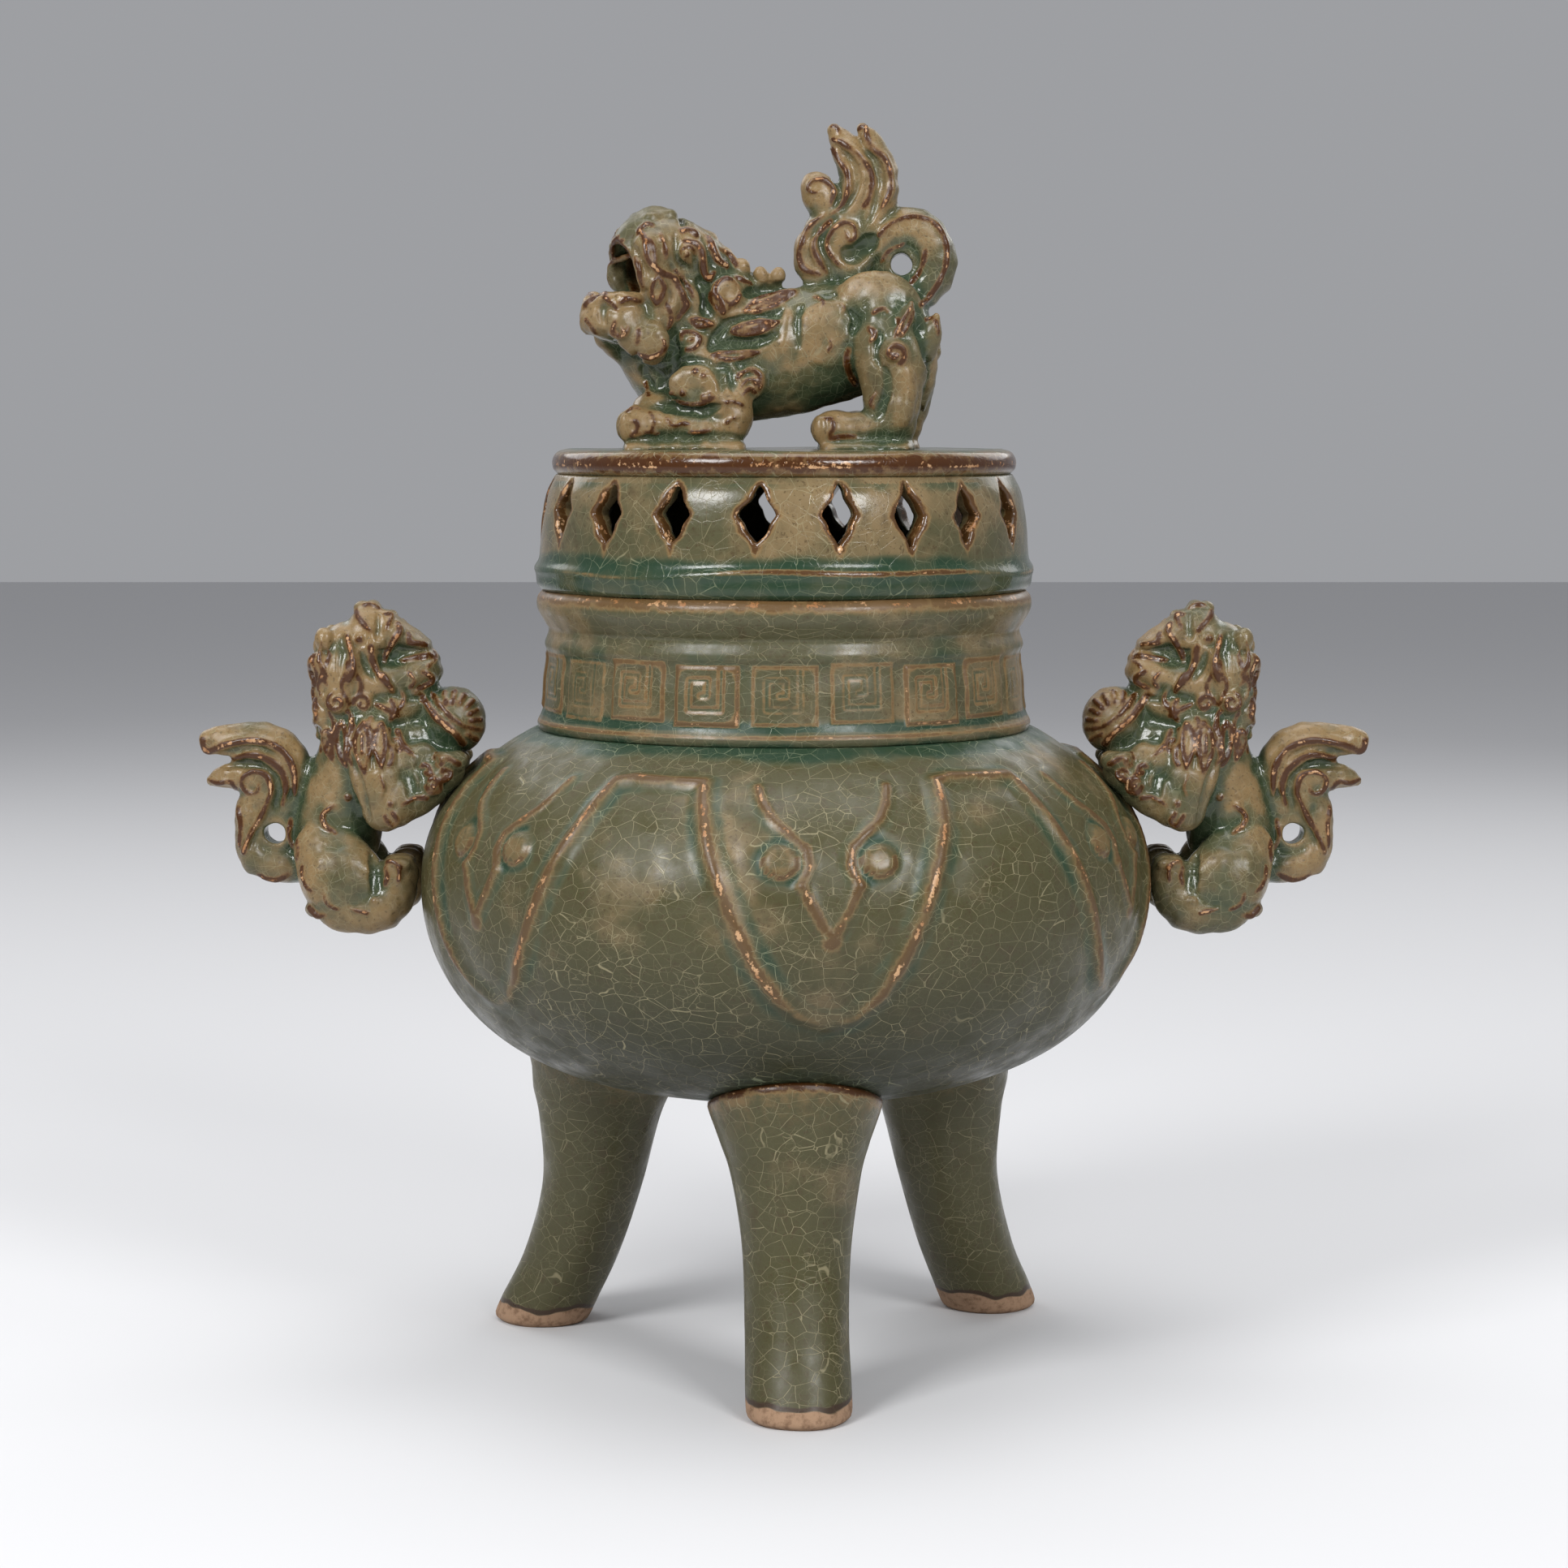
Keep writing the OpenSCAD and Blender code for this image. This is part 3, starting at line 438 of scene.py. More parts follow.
BODY_RIDGES = (
    ("elbow, outer", 0.8, [(-11, 16), (-10, 17.5), (-7.5, 18.5), (-5.5, 17), (-5.5, 14)]),
    ("elbow, middle", 0.65, [(-10, 14.5), (-8.5, 16), (-7, 16), (-6, 14.5)]),
    ("elbow, inner", 0.65, [(-9.5, 12.5), (-8, 14), (-6.5, 13)]),
    ("elbow fold", 0.65, [(-13.5, 11), (-11.5, 11), (-9, 10)]),
    ("disc, low edge", 0.6, [(-26, 11.5), (-23, 10.5), (-19, 10.5), (-16, 12)]),
    ("forearm", 0.75, [(-27, 7.5), (-25.5, 5.5), (-23.5, 6), (-22, 6)]),
    ("forearm edge", 0.65, [(-22, 4), (-19.5, 4), (-17, 4.5)]),
    ("wrist", 0.65, [(-13.5, 6), (-12, 7), (-11, 7.5)]),
    ("paw, outer toe", 0.65, [(-35.5, 6.5), (-34, 6.5), (-34, 4.5), (-35.5, 3)]),
    ("paw, top", 0.6, [(-37, 8.5), (-35.5, 9.5), (-33.5, 9.5)]),
    ("paw, back", 0.6, [(-31, 8.5), (-30, 6.5), (-30.5, 4.5)]),
    ("paw, low edge", 0.6, [(-35, 3), (-31.5, 4), (-29, 3.5)]),
    ("knee", 0.85, [(15, 23), (14.5, 20), (15.5, 17), (17, 14.5)]),
    ("shin mark", 0.75, [(21, 13), (20, 11), (20.5, 9.5)]),
    ("thigh mark", 0.85, [(19.5, 28), (21, 26.5), (20, 25)]),
    ("medallion", 0.8, [(-24, 25), (-23.5, 27), (-21, 27), (-19.5, 25.5), (-20.5, 23.5), (-23, 23)]),
    ("medallion, middle", 0.7, [(-22.5, 25), (-21, 25.5)]),
    ("jaw curl", 0.75, [(-39, 29), (-39.5, 27), (-37.5, 26), (-36, 27), (-36, 28.5)]),
    ("jaw curl, inside", 0.65, [(-37.5, 28), (-37, 27), (-36.5, 27.5)]),
    ("beard, low edge", 0.85, [(-34, 22.5), (-32.5, 21.5), (-31, 21), (-28.5, 22), (-27, 23.5)]),
    ("beard, top", 0.65, [(-33.5, 28), (-33.5, 26), (-34, 24)]),
    ("beard, inside", 0.65, [(-28, 25.5), (-27.5, 24.5), (-27.5, 23)]),
    ("chest drip", 0.6, [(-32.5, 16), (-32, 14), (-31.5, 12.5)]),
    ("hip mark", 0.65, [(20.5, 31.5), (23, 32.5), (24.5, 31.5)]),
    ("back mark", 0.65, [(7, 35.5), (9, 34.5), (9, 33)]),
    ("back mark, second", 0.65, [(12.5, 34), (14, 33), (13.5, 31.5)]),
    ("flank mark", 0.6, [(10.5, 25.5), (11, 24), (10, 22.5)]),
    ("rump mark", 0.65, [(26, 30.5), (27, 28), (26, 26)]),
    ("near tuft", 0.75, [(25.5, 26), (27, 29), (29.5, 33)]),
    ("near tuft, back", 0.6, [(27, 26), (29, 29), (30, 32)]),
    ("far tuft", 0.65, [(33, 30), (35, 30), (36, 26.5)]),
    ("hind paw, toe", 0.65, [(9.5, 7), (11, 7), (11.5, 5), (10.5, 3.5)]),
    ("hind paw, low edge", 0.6, [(10.5, 2.5), (13.5, 3), (16.5, 3)]),
)
TAIL_GROOVES = (
    ("rear flame", 1.3, [(20, 53), (21.5, 57.5), (22.5, 62), (21, 67.5), (18, 71.5)]),
    ("front flame", 1.3, [(13.5, 55.5), (16, 59), (17, 63), (15.5, 67.5), (12.5, 70.5)]),
    ("back flame", 1.2, [(12.5, 53.5), (9, 50), (8.5, 46), (10.5, 42.5)]),
    ("back flame, edge", 1.0, [(8.5, 52), (6, 48.5), (5.5, 45), (7, 41.5)]),
    ("under the scroll", 2.2, [(14, 46), (16, 45), (19, 47), (21, 49)]),
    ("curl", 1.0, [(12, 56), (13, 59.5), (12, 63)]),
)
TAIL_RIDGES = (
    ("ring", 0.85, [(22, 49.5), (24.5, 52), (29.5, 54), (35, 52.5), (38, 47.5), (37.5, 41.5), (34.5, 36),
                    (32, 33.5)]),
    ("ring, inside", 0.7, [(29.5, 38.5), (32, 42), (33, 46)]),
    ("ring, near the hole", 0.5, [(22.5, 43), (24.5, 46), (28, 47.5)]),
    ("back flame, edge", 0.8, [(9.5, 54.5), (6, 52), (4, 47.5), (3.5, 45), (4.5, 42), (8.5, 40.5)]),
    ("back flame, middle", 0.8, [(11, 53), (8, 50), (7, 47), (8.5, 43), (10, 41)]),
    ("front flame, edge", 0.8, [(10.5, 75), (10, 72), (12.5, 67.5), (15, 63), (14, 57.5), (11, 54.5)]),
    ("front flame, top", 0.6, [(11, 75), (12, 75), (13, 73.5)]),
    ("middle flame", 0.85, [(11, 72), (13.5, 71), (17.5, 68), (20.5, 63.5), (20, 59), (18.5, 56)]),
    ("rear flame", 0.85, [(19, 75), (20, 70.5), (23.5, 67.5), (25, 63), (24.5, 59), (22.5, 55.5)]),
    ("rear flame, top", 0.6, [(16.5, 73), (18, 75), (19.5, 75)]),
    ("scroll", 0.8, [(13.5, 42), (11, 45), (10, 48), (12, 51.5), (14.5, 52.5), (16.5, 51.5), (16.5, 49),
                     (15, 48.5), (14.5, 50)]),
    ("curl", 0.8, [(11, 56.5), (11.5, 60), (9.5, 62.5), (7, 62.5), (5.5, 60.5), (7, 59.5), (8.5, 60)]),
)
# A handle's lines
LION_GROOVES = (
    ("behind the face", 1.2, [(104, 172), (103.5, 167), (104, 162)]),
    ("cheek", 1.0, [(99, 168.5), (98, 164.5), (96, 161.5)]),
    ("beside the nose", 1.0, [(95.5, 177), (95, 174), (95.5, 171)]),
    ("under the jaw", 1.0, [(91, 157.5), (88, 157), (85, 157.5)]),
    ("between the locks", 1.1, [(101, 152), (101, 146), (100.5, 140)]),
    ("second lock to third", 1.1, [(96.5, 151), (96, 146), (96, 141)]),
    ("arm to trunk", 1.0, [(100, 141), (98.5, 135), (97, 129)]),
    ("in the arm's bend", 1.5, [(89.5, 141), (87.5, 137.5), (86.5, 133.5)]),
    ("wrist", 1.0, [(86, 142), (84.5, 138.5), (85.5, 134.5)]),
    ("before the haunch", 1.4, [(97, 121), (96, 116.5), (95.5, 111.5)]),
    ("plume, outer", 1.2, [(136, 145), (131, 144), (125.5, 145), (120.5, 143), (117.5, 138.5), (117, 133)]),
    ("plume, inner", 1.1, [(133, 140.5), (126, 141.5), (121.5, 139), (119.5, 135), (120.5, 130)]),
    ("tail stem", 1.0, [(126, 131.5), (125, 127), (126.5, 121)]),
)
LION_RIDGES = (
    ("nose", 0.85, [(101, 177.5), (99.5, 175.5), (97, 173)]),
    ("nose, tip", 0.7, [(99, 179), (97, 179), (95.5, 178)]),
    ("nostril fold", 0.75, [(94, 177), (92.5, 176.5), (93.5, 173.5)]),
    ("muzzle fold", 0.95, [(91, 175), (90.5, 173), (92, 170.5), (93.5, 168), (94, 166)]),
    ("lip hair", 0.7, [(88.5, 172.5), (88, 170.5)]),
    ("upper lip", 0.8, [(89, 170), (86, 170), (84, 169.5)]),
    ("lower lip", 0.95, [(91, 166), (87, 166.5), (84, 167), (82.5, 166.5)]),
    ("lip corner", 0.7, [(83, 168), (82.5, 166), (84, 164.5)]),
    ("chin, front", 0.8, [(85, 163.5), (83, 162), (83.5, 160.5), (86, 159.5)]),
    ("chin, back", 0.7, [(88.5, 163.5), (87, 161.5), (88, 159.5)]),
    ("chin strand", 0.7, [(90.5, 159.5), (89.5, 157), (90.5, 154.5)]),
    ("cheek strand", 1.0, [(97, 169.5), (96.5, 165.5), (94.5, 162), (92, 159.5)]),
    ("cheek hair", 0.7, [(94.5, 163.5), (93, 161.5), (92, 158.5)]),
    ("face edge", 1.0, [(102.5, 172), (101.5, 168), (101, 164.5), (102, 161.5)]),
    ("crown", 0.8, [(108.5, 171), (109, 166.5), (107.5, 162.5)]),
    ("nape", 0.9, [(110.5, 168), (111.5, 164), (110.5, 160)]),
    ("nape, low", 0.9, [(110.5, 157), (110, 153), (111, 150.5)]),
    ("nape hair", 0.7, [(108.5, 163), (109.5, 160), (108.5, 157)]),
    ("neck strand", 0.8, [(96, 156), (93, 154.5), (90.5, 153)]),
    ("knob hair", 0.7, [(109.5, 149.5), (108.5, 147), (109.5, 144.5)]),
    ("chest", 0.8, [(91, 150), (89.5, 146.5), (86.5, 144)]),
    ("ball", 1.1, [(85.5, 157.5), (83, 154), (80.5, 151.5), (77.5, 149), (75.5, 146)]),
    ("ball, second", 0.7, [(83, 158), (80.5, 155), (78, 152.5), (74.5, 150)]),
    ("shoulder hair", 0.7, [(94.5, 140), (93.5, 137), (94.5, 134)]),
    ("forearm hair", 0.7, [(89.5, 132.5), (86, 134.5), (83.5, 134)]),
    ("neck hair", 0.7, [(102.5, 154.5), (101.5, 152.5), (102, 149)]),
    ("neck hair, second", 0.7, [(92.5, 157), (91.5, 154.5), (92.5, 152)]),
    ("paw, top", 0.8, [(81.5, 144.5), (78.5, 143.5), (76, 142)]),
    ("paw, first toe", 0.8, [(84, 137), (82.5, 135.5), (80.5, 136), (80.5, 138)]),
    ("paw, second toe", 0.8, [(83, 140), (81, 138.5), (79, 138.5), (78, 140)]),
    ("elbow", 0.75, [(93.5, 130.5), (92, 128), (90.5, 129), (91.5, 131)]),
    ("flank mark", 0.9, [(105.5, 132.5), (108.5, 130), (108, 127.5), (105.5, 126)]),
    ("rump mark", 0.7, [(115, 124), (114.5, 121.5), (115, 119)]),
    ("hind toe", 0.7, [(94.5, 119), (92, 119.5), (89.5, 118)]),
    ("hind claw, first", 0.65, [(93.5, 118), (93, 116), (93.5, 114)]),
    ("hind claw, second", 0.65, [(90.5, 118.5), (90, 116.5), (90.5, 114.5)]),
    ("haunch, low", 0.7, [(104.5, 108), (107, 109.5), (108, 112)]),
    ("haunch, back", 0.7, [(113.5, 118), (113, 115), (111, 112.5)]),
    ("sole", 0.8, [(102, 108.5), (99.5, 108), (97.5, 107.5)]),
    ("heel", 0.9, [(112, 108.5), (110, 106.5), (108, 106.5)]),
    ("plume, edge", 1.0, [(138, 147), (137, 144), (132, 146), (125, 147), (119, 145), (116, 140),
                          (116, 134)]),
    ("plume, middle", 0.95, [(135.5, 140), (131.5, 142), (125, 143.5), (120, 141), (118, 136.5),
                             (119, 131.5)]),
    ("plume, scroll", 0.95, [(128.5, 120), (126.5, 124.5), (123.5, 130), (121.5, 135), (122.5, 138.5),
                             (126, 139.5), (128.5, 137.5), (127.5, 134.5), (125, 134.5), (124.5, 136.5)]),
    ("plume, low tip", 0.8, [(137, 137.5), (134.5, 136.5), (131.5, 137), (130, 134.5)]),
    ("stem, outer", 0.8, [(129.5, 131), (129, 126.5), (129.5, 121.5)]),
    ("stem, foot", 0.8, [(125, 114.5), (121, 113.5), (117.5, 115)]),
    ("beside the hole", 0.7, [(117, 128), (117.5, 124), (116.5, 120.5)]),
)


def draw(clay, lines, groove=False):
    """Lays the lines of a drawing on both flanks, as ridges or as grooves."""
    for _, radius, points in lines:
        clay.stroke(points, radius, groove=groove)


def finial_trunk(clay):
    """Trunk, chest and neck."""
    clay.limb([(-24, 0, 14, 8.5, 9), (-19, 0, 18, 12, 11.6), (-10, 0, 21.2, 14.8, 12.2),
               (4, 0, 23.6, 14.8, 11.6), (17, 0, 26.8, 13, 11.2), (25, 0, 30, 9.4, 9.8)])
    clay.limb([(-13, 0, 22, 13, 11), (-15, 0, 29, 12.4, 11.6), (-15, 0, 34, 10, 10.6)])
    clay.limb([(-37, 0, 25, 4, 6), (-31, 0, 18.5, 6, 7.6), (-26, 0, 12, 6, 8.6)])
    clay.limb([(-29, -4, 25, 5, 7), (-24, -4, 21, 6, 8)])


def finial_legs(clay):
    """Legs and tufts, the knobs and ridge of the mane, and the rump."""
    for s in (-1, 1):
        # Forelegs lie along the deck; hind legs stand, the far one a step behind
        step = 1.9 * (s + 1) / 2
        clay.limb([(-19, s * 8.4, 20, 7.6, 5), (-15.4, s * 11.4, 13, 7.4, 5.4),
                   (-11.6, s * 13, 7.4, 4.4, 5)])
        clay.limb([(-11.6, s * 13.2, 5, 3.6, 4.8), (-21, s * 13, 4.8, 3, 4.8),
                   (-29, s * 12.8, 5.4, 4, 5.2)])
        clay.limb([(-31, s * 8, 9, 4.4, 5), (-22, s * 9.4, 8.6, 3.6, 5), (-13, s * 10, 9, 4, 5)])
        paw(clay, (-33.4, s * 12.8, 5.2), (5, 5.6, 4.6), (-1, 0))
        clay.limb([(24.6, s * 8, 30, 8.4, 5.2), (25 + step, s * 11, 22, 8.8, 5.6),
                   (25 + 2 * step, s * 12.2, 14, 6.8, 5.4), (24.6 + 1.4 * step, s * 12.6, 6.4, 6.2, 5.2)])
        clay.limb([(25, s * 12.6, 4.6, 4.2, 5), (18, s * 12.6, 4.8, 4, 5), (14.6, s * 12.6, 4.6, 4, 5.2)])
        paw(clay, (11.6, s * 12.6, 4.6), (4.6, 5.6, 4.2), (-1, 0))
        # Glaze run down round the feet
        clay.limb([(-35, s * 12.8, 0, 2.4, 7), (-11, s * 13, 0, 2.4, 7)])
        clay.limb([(10.5, s * 12.6, 0, 2.4, 7), (28 + step, s * 12.6, 0, 2.4, 7)])
        # Tufts behind the hind legs
        clay.limb([(25.4, s * 10.6, 25, 3, 2.8), (28, s * 13, 29.6, 2.1, 2), (29.4, s * 14, 33.4, 0.9, 1)])
        clay.limb([(32.4 + step, s * 9.6, 23, 3, 2.6), (34.6, s * 10.6, 27.4, 2, 1.9),
                   (35.4, s * 10.6, 30.6, 0.9, 0.9)])
        # Knobs of the mane on the nape
        clay.ball((-10, s * 3.4, 42), (2.1, 2, 2.3), 0.6)
        clay.ball((-5.2, s * 3.6, 40.2), (1.9, 1.8, 2.5), 0.6, tilt=20)
        clay.ball((-1.6, s * 3.4, 40.2), (2, 1.8, 2.4), 0.6, tilt=-25)
    clay.limb([(-13, 0, 38, 4, 5), (-5, 0, 36.6, 4, 4.6), (1, 0, 36, 3, 4)])
    clay.limb([(28, 0, 28, 7, 8), (29.4, 0, 19, 6.4, 8), (29, 0, 11, 4.6, 8)])


def finial_tail(clay):
    """Tail: a ring, then three flames and a curl."""
    clay.limb([(25, 0, 36, 4.5, 4.6), (32.6, 0, 37.4, 4.7, 4.6), (35.6, 0, 43.5, 4.9, 4.8),
               (33.4, 0, 49.4, 4.9, 4.8), (28.4, 0, 51.2, 4.9, 4.8), (22, 0, 48.6, 5.4, 4.8)])
    clay.ball((27.2, 0, 43), (7, 3.9, 7), 1)
    clay.limb([(16.5, 0, 40, 4.5, 4.8), (14.8, 0, 47, 8, 5), (14.4, 0, 54, 6.6, 4.6)])
    clay.limb([(12, 0, 50, 4, 4.2), (15.4, 0, 57, 4, 4.4), (17.4, 0, 63, 4, 4.2), (15, 0, 69.2, 3.6, 3.4),
               (11.8, 0, 74, 1.6, 1.7)])
    clay.limb([(19, 0, 50, 4.4, 4.4), (22.4, 0, 57.4, 3.8, 4.2), (23.4, 0, 64, 3.2, 3.6),
               (20.8, 0, 70.4, 2.6, 2.8), (18.4, 0, 74.6, 1.5, 1.6)])
    clay.limb([(8, 0, 40, 5, 4.4), (7, 0, 47, 4.4, 4.4), (10, 0, 54, 3.6, 4.2), (8.4, 0, 59, 4, 4.2),
               (7.8, 0, 60.6, 3.9, 4)])
    clay.ball((27.5, 0, 43), (2.6, 30, 2.6), 0.8, take=True)


def finial_head(clay):
    """Head, turned toward the front, its mouth wide open."""
    clay.turn, clay.pivot = HEAD_TURN, HEAD_PIVOT
    clay.ball((-22.5, 0, 42.5), (9.5, 10.4, 9), 2.5)
    clay.limb([(-24, 0, 44, 8.8, 10.4), (-29, 0, 45.6, 8.8, 9.8), (-33, 0, 46, 8.6, 9)])
    clay.limb([(-20, 0, 40, 8, 10.2), (-24, 0, 35, 8, 10), (-25, 0, 29, 7.6, 9.6)])
    clay.limb([(-24, 0, 29.6, 7.4, 9.4), (-33, 0, 29.6, 6.6, 8.8), (-41, 0, 30, 5.6, 7.4),
               (-45.8, 0, 30.2, 4.2, 6)])
    for s in (-1, 1):
        clay.limb([(-35.6, s * 6.6, 46, 4.6, 3), (-35.4, s * 7.4, 40, 4, 2.6),
                   (-31.6, s * 7.6, 34.5, 4.6, 3)])
        clay.ball((-24.6, s * 3.6, 50.6), (2.6, 2.4, 2), 0.8)
        clay.ball((-19.8, s * 4.2, 48.8), (2.5, 2.2, 1.9), 0.8)
        clay.ball((-15.6, s * 4.4, 45.4), (2.1, 2, 1.7), 0.8)
        clay.limb([(-40, s * 6, 26.6, 4, 3.2), (-36, s * 6.6, 23.6, 4, 3.2)])
    clay.ball((-36, 0, 41.4), (14, 6.3, 7.2), 0.8, take=True)
    clay.ball(MOUTH, (6.8, 8, 6.6), 0.8, take=True)
    clay.limb([(-39, 0, 38, 2.4, 4.6), (-50, 0, 38.6, 3, 4.6)], take=True)
    clay.limb([(-33, 0, 34.6, 2, 3.6), (-41, 0, 34.6, 1.6, 3.2), (-44, 0, 35, 1.4, 3)])
    for s in (-1, 1):
        clay.limb([(-48, s * 1.5, 33, 1.5, 1.6), (-45.5, s * 4.8, 34.2, 1.6, 1.6),
                   (-40, s * 6.4, 34.4, 1.6, 1.6)])
    clay.ball((-31.3, 0, 53), (4.4, 5, 3.4), 1)
    for s in (-1, 1):
        clay.ball((-34.2, s * 3.4, 53.2), (2, 2.2, 1.8), 0.8)
        clay.ball((-29.6, s * 3.6, 54), (2, 1.8, 1.6), 0.6)
    dip = np.array([(-26.9, y, 53 - 0.04 * y * y) for y in np.linspace(-8, 8, 12)])
    clay.tube(clay.swing(dip), 1.3, 1, 0.6, groove=True)
    clay.boss(FINIAL_EYE, (2.2, 1.6, 2.2), 0.2)
    clay.boss(FINIAL_EAR, (3.4, 1.8, 3.6), 0.3)
    clay.boss(FINIAL_EAR, (2, 1.3, 2.2), -0.9, take=True)
    clay.boss((-36, 30), (3.2, 1.8, 2.8), 0.5, 1.5)
    clay.boss((-16, 30.5), (2.4, 1.8, 2.2), 0.3)
    draw(clay, HEAD_GROOVES, groove=True)
    clay.turn = 0.0


def finial_flank(clay):
    """Beard, shoulder disc, elbow, flank and haunch, and glaze in the creases."""
    clay.boss((-30.5, 25), (4.2, 3.2, 4.2), 0.35, 1.5)
    draw(clay, BODY_GROOVES + TAIL_GROOVES, groove=True)
    spine = [(-7.5, 0, 37.5), (2, 0, 38.5), (9, 0, 39), (16.5, 0, 39.5), (22.5, 0, 40)]
    clay.tube(spline(spine, 0.8), 1.8, 1.2, 0.5, groove=True)
    clay.boss((-21.5, 25), (3.3, 1.8, 2.6), 0.4, 1.5)
    clay.boss((-21, 15), (5.8, 1.9, 4.3), 0.45, 2)
    clay.boss((-8, 15), (3.2, 2.2, 3.6), 0.35, 1.5)
    clay.boss((10, 28), (5, 1.7, 6.4), 0.65, 3)
    clay.boss((21.5, 36), (7.6, 3, 5.6), 0.8, 4)
    clay.stroke([(27, 20.5), (28, 15), (27.5, 10), (26, 4)], 2.6, -1.2, tint=0)
    clay.stroke([(1.5, 32.5), (0.5, 28), (0, 22)], 1.8, -1.0, tint=0)
    clay.boss(FINIAL_KNEE, (3.4, 1.9, 3.2), 0.3)
    clay.flood(3.6, 0.3)


def finial_lines(clay):
    """Lines on the head, then on the body, and locks of the mane."""
    clay.turn = HEAD_TURN
    draw(clay, HEAD_RIDGES)
    clay.curl(FINIAL_EYE, 1.9, 1.0, line=0.55, proud=0.4)
    clay.boss(FINIAL_EYE, (0.7, 0.8, 0.7), -0.4, 0.4)
    x, z = FINIAL_EAR
    clay.stroke([(x + 2.9 * math.cos(a), z + 3.1 * math.sin(a)) for a in np.linspace(0.9, 7, 14)], 0.75)
    clay.turn = 0.0
    clay.curl(FINIAL_KNEE, 2.6, 1.1, -60, 1, 0.9)
    for spot in ((-20.5, 18), (-18.5, 17), (-26, 13), (-23.5, 13), (-18.5, 12), (-17, 12.5)):
        clay.boss(spot, (0.9, 0.7, 0.7), 0.2, 0.5, tint=0.85)
    clay.lock((-9, 32), (2.5, 36.5), 0.2, 3, hairs=2)
    clay.lock((-12.5, 27), (-1, 29.5), -0.2, 2.6)
    clay.lock((-16.5, 22), (-5.5, 22.5), -0.5, 1.6, hairs=0)
    clay.lock((-17, 36), (-14, 31.5), 0.2, 1.8, hairs=0)
    clay.lock((-22, 30), (-16.5, 29), -0.3, 1.6, hairs=0)
    draw(clay, BODY_RIDGES + TAIL_RIDGES)


def sculpt_finial():
    """The lion on the lid, head toward -X, in mm above the deck."""
    clay = Clay((-53, -22, -1.5), (43, 22, 78.5), LION_GRAIN)
    for part in (finial_trunk, finial_legs, finial_tail, finial_head, finial_flank, finial_lines):
        part(clay)
    # The underside is flat, a little below the deck's top
    clay.d = np.maximum(clay.d, (-clay.axes[2] - 0.3).astype(np.float32)[None, None, :])
    clay.settle()
    verts, faces, marks = clay.skinned()
    clay.turn = HEAD_TURN
    # Painted shade in the open mouth: its cavity is laid in with green and brown
    mouth = np.linalg.norm((clay.swing(verts, back=True) - MOUTH) / (7.4, 8, 7.4), axis=1)
    foot = np.exp(-np.maximum(verts[:, 2], 0) / 2.0)
    marks["hollow"] = marks["hollow"] + foot + 1.6 * np.clip(6 - 5.5 * mouth, 0, 1)
    marks["line"] = np.maximum(marks["line"], 0.62 * np.clip(6 - 5.6 * mouth, 0, 1))
    verts[:, 2] += DECK_Z
    return verts, faces, marks


def handle_trunk(clay):
    """Trunk and chest."""
    clay.limb([(107.5, 0, 112, 7, 9), (107, 0, 119, 9.2, 10), (106.4, 0, 125, 10, 10.4),
               (104.2, 0, 134, 9.6, 10.4), (100.4, 0, 143, 10, 10.6), (98.6, 0, 151, 9.8, 10.2)])
    clay.limb([(97, 0, 147, 9, 9.4), (89, 0, 147, 6.5, 8), (84.6, 0, 147, 5, 6.6)])


def handle_head(clay):
    """Head thrown back: mane, muzzle, lips, jaw, throat, chest and knobs."""
    clay.limb([(104.4, 0, 151, 6.8, 9.2), (104.4, 0, 160, 7.4, 10.6), (102.4, 0, 168, 7.2, 10)])
    clay.limb([(101.4, 0, 165, 7, 9.6), (99.6, 0, 171, 5.6, 8.2), (98, 0, 175.6, 3.7, 6),
               (97.4, 0, 178, 2.1, 4)])
    clay.limb([(97, 0, 171, 6, 8), (95.6, 0, 173.6, 4.2, 7.2), (91.8, 0, 172, 3.2, 6.4),
               (88.2, 0, 170.4, 2.4, 5.8), (85.6, 0, 169, 2, 5)])
    clay.limb([(98, 0, 160, 7.4, 9.4), (91, 0, 161.4, 4.8, 7.8), (85.4, 0, 163, 4.2, 6.4)])
    clay.limb([(95.5, 0, 168.4, 0.7, 14), (91, 0, 167.8, 1.1, 14), (82, 0, 167.6, 0.6, 14)], 0.6, take=True)
    clay.limb([(95, 0, 167.6, 4, 4.6), (89.6, 0, 167.4, 2.8, 4), (85.4, 0, 167, 2.4, 4)])
    clay.limb([(97, 0, 152, 8, 9.2), (90, 0, 155, 5.4, 7.8), (86, 0, 158, 3.6, 5.4)])
    clay.limb([(98, 0, 146, 8, 10.4), (92, 0, 146, 7, 9.6), (88, 0, 141, 6, 8.6)])
    for x, z, r in ((109, 168.5, 2.6), (110, 163.5, 2.6), (109, 158.8, 2.4), (108.6, 154.8, 2.4),
                    (109.4, 151, 2.4), (108, 147, 2.0), (107.4, 143.6, 1.6)):
        for y in (-7, -2.4, 2.4, 7):
            clay.ball((x - 0.02 * y * y, y, z + 0.3 * abs(y)), (r, r * 1.1, r * 1.2), 0.8)
    for s in (-1, 1):
        clay.ball((99.6, s * 2.6, 178.2), (2, 2, 1.6), 0.8)
        clay.ball((94.6, s * 3, 176.2), (1.8, 1.8, 1.4), 0.8)


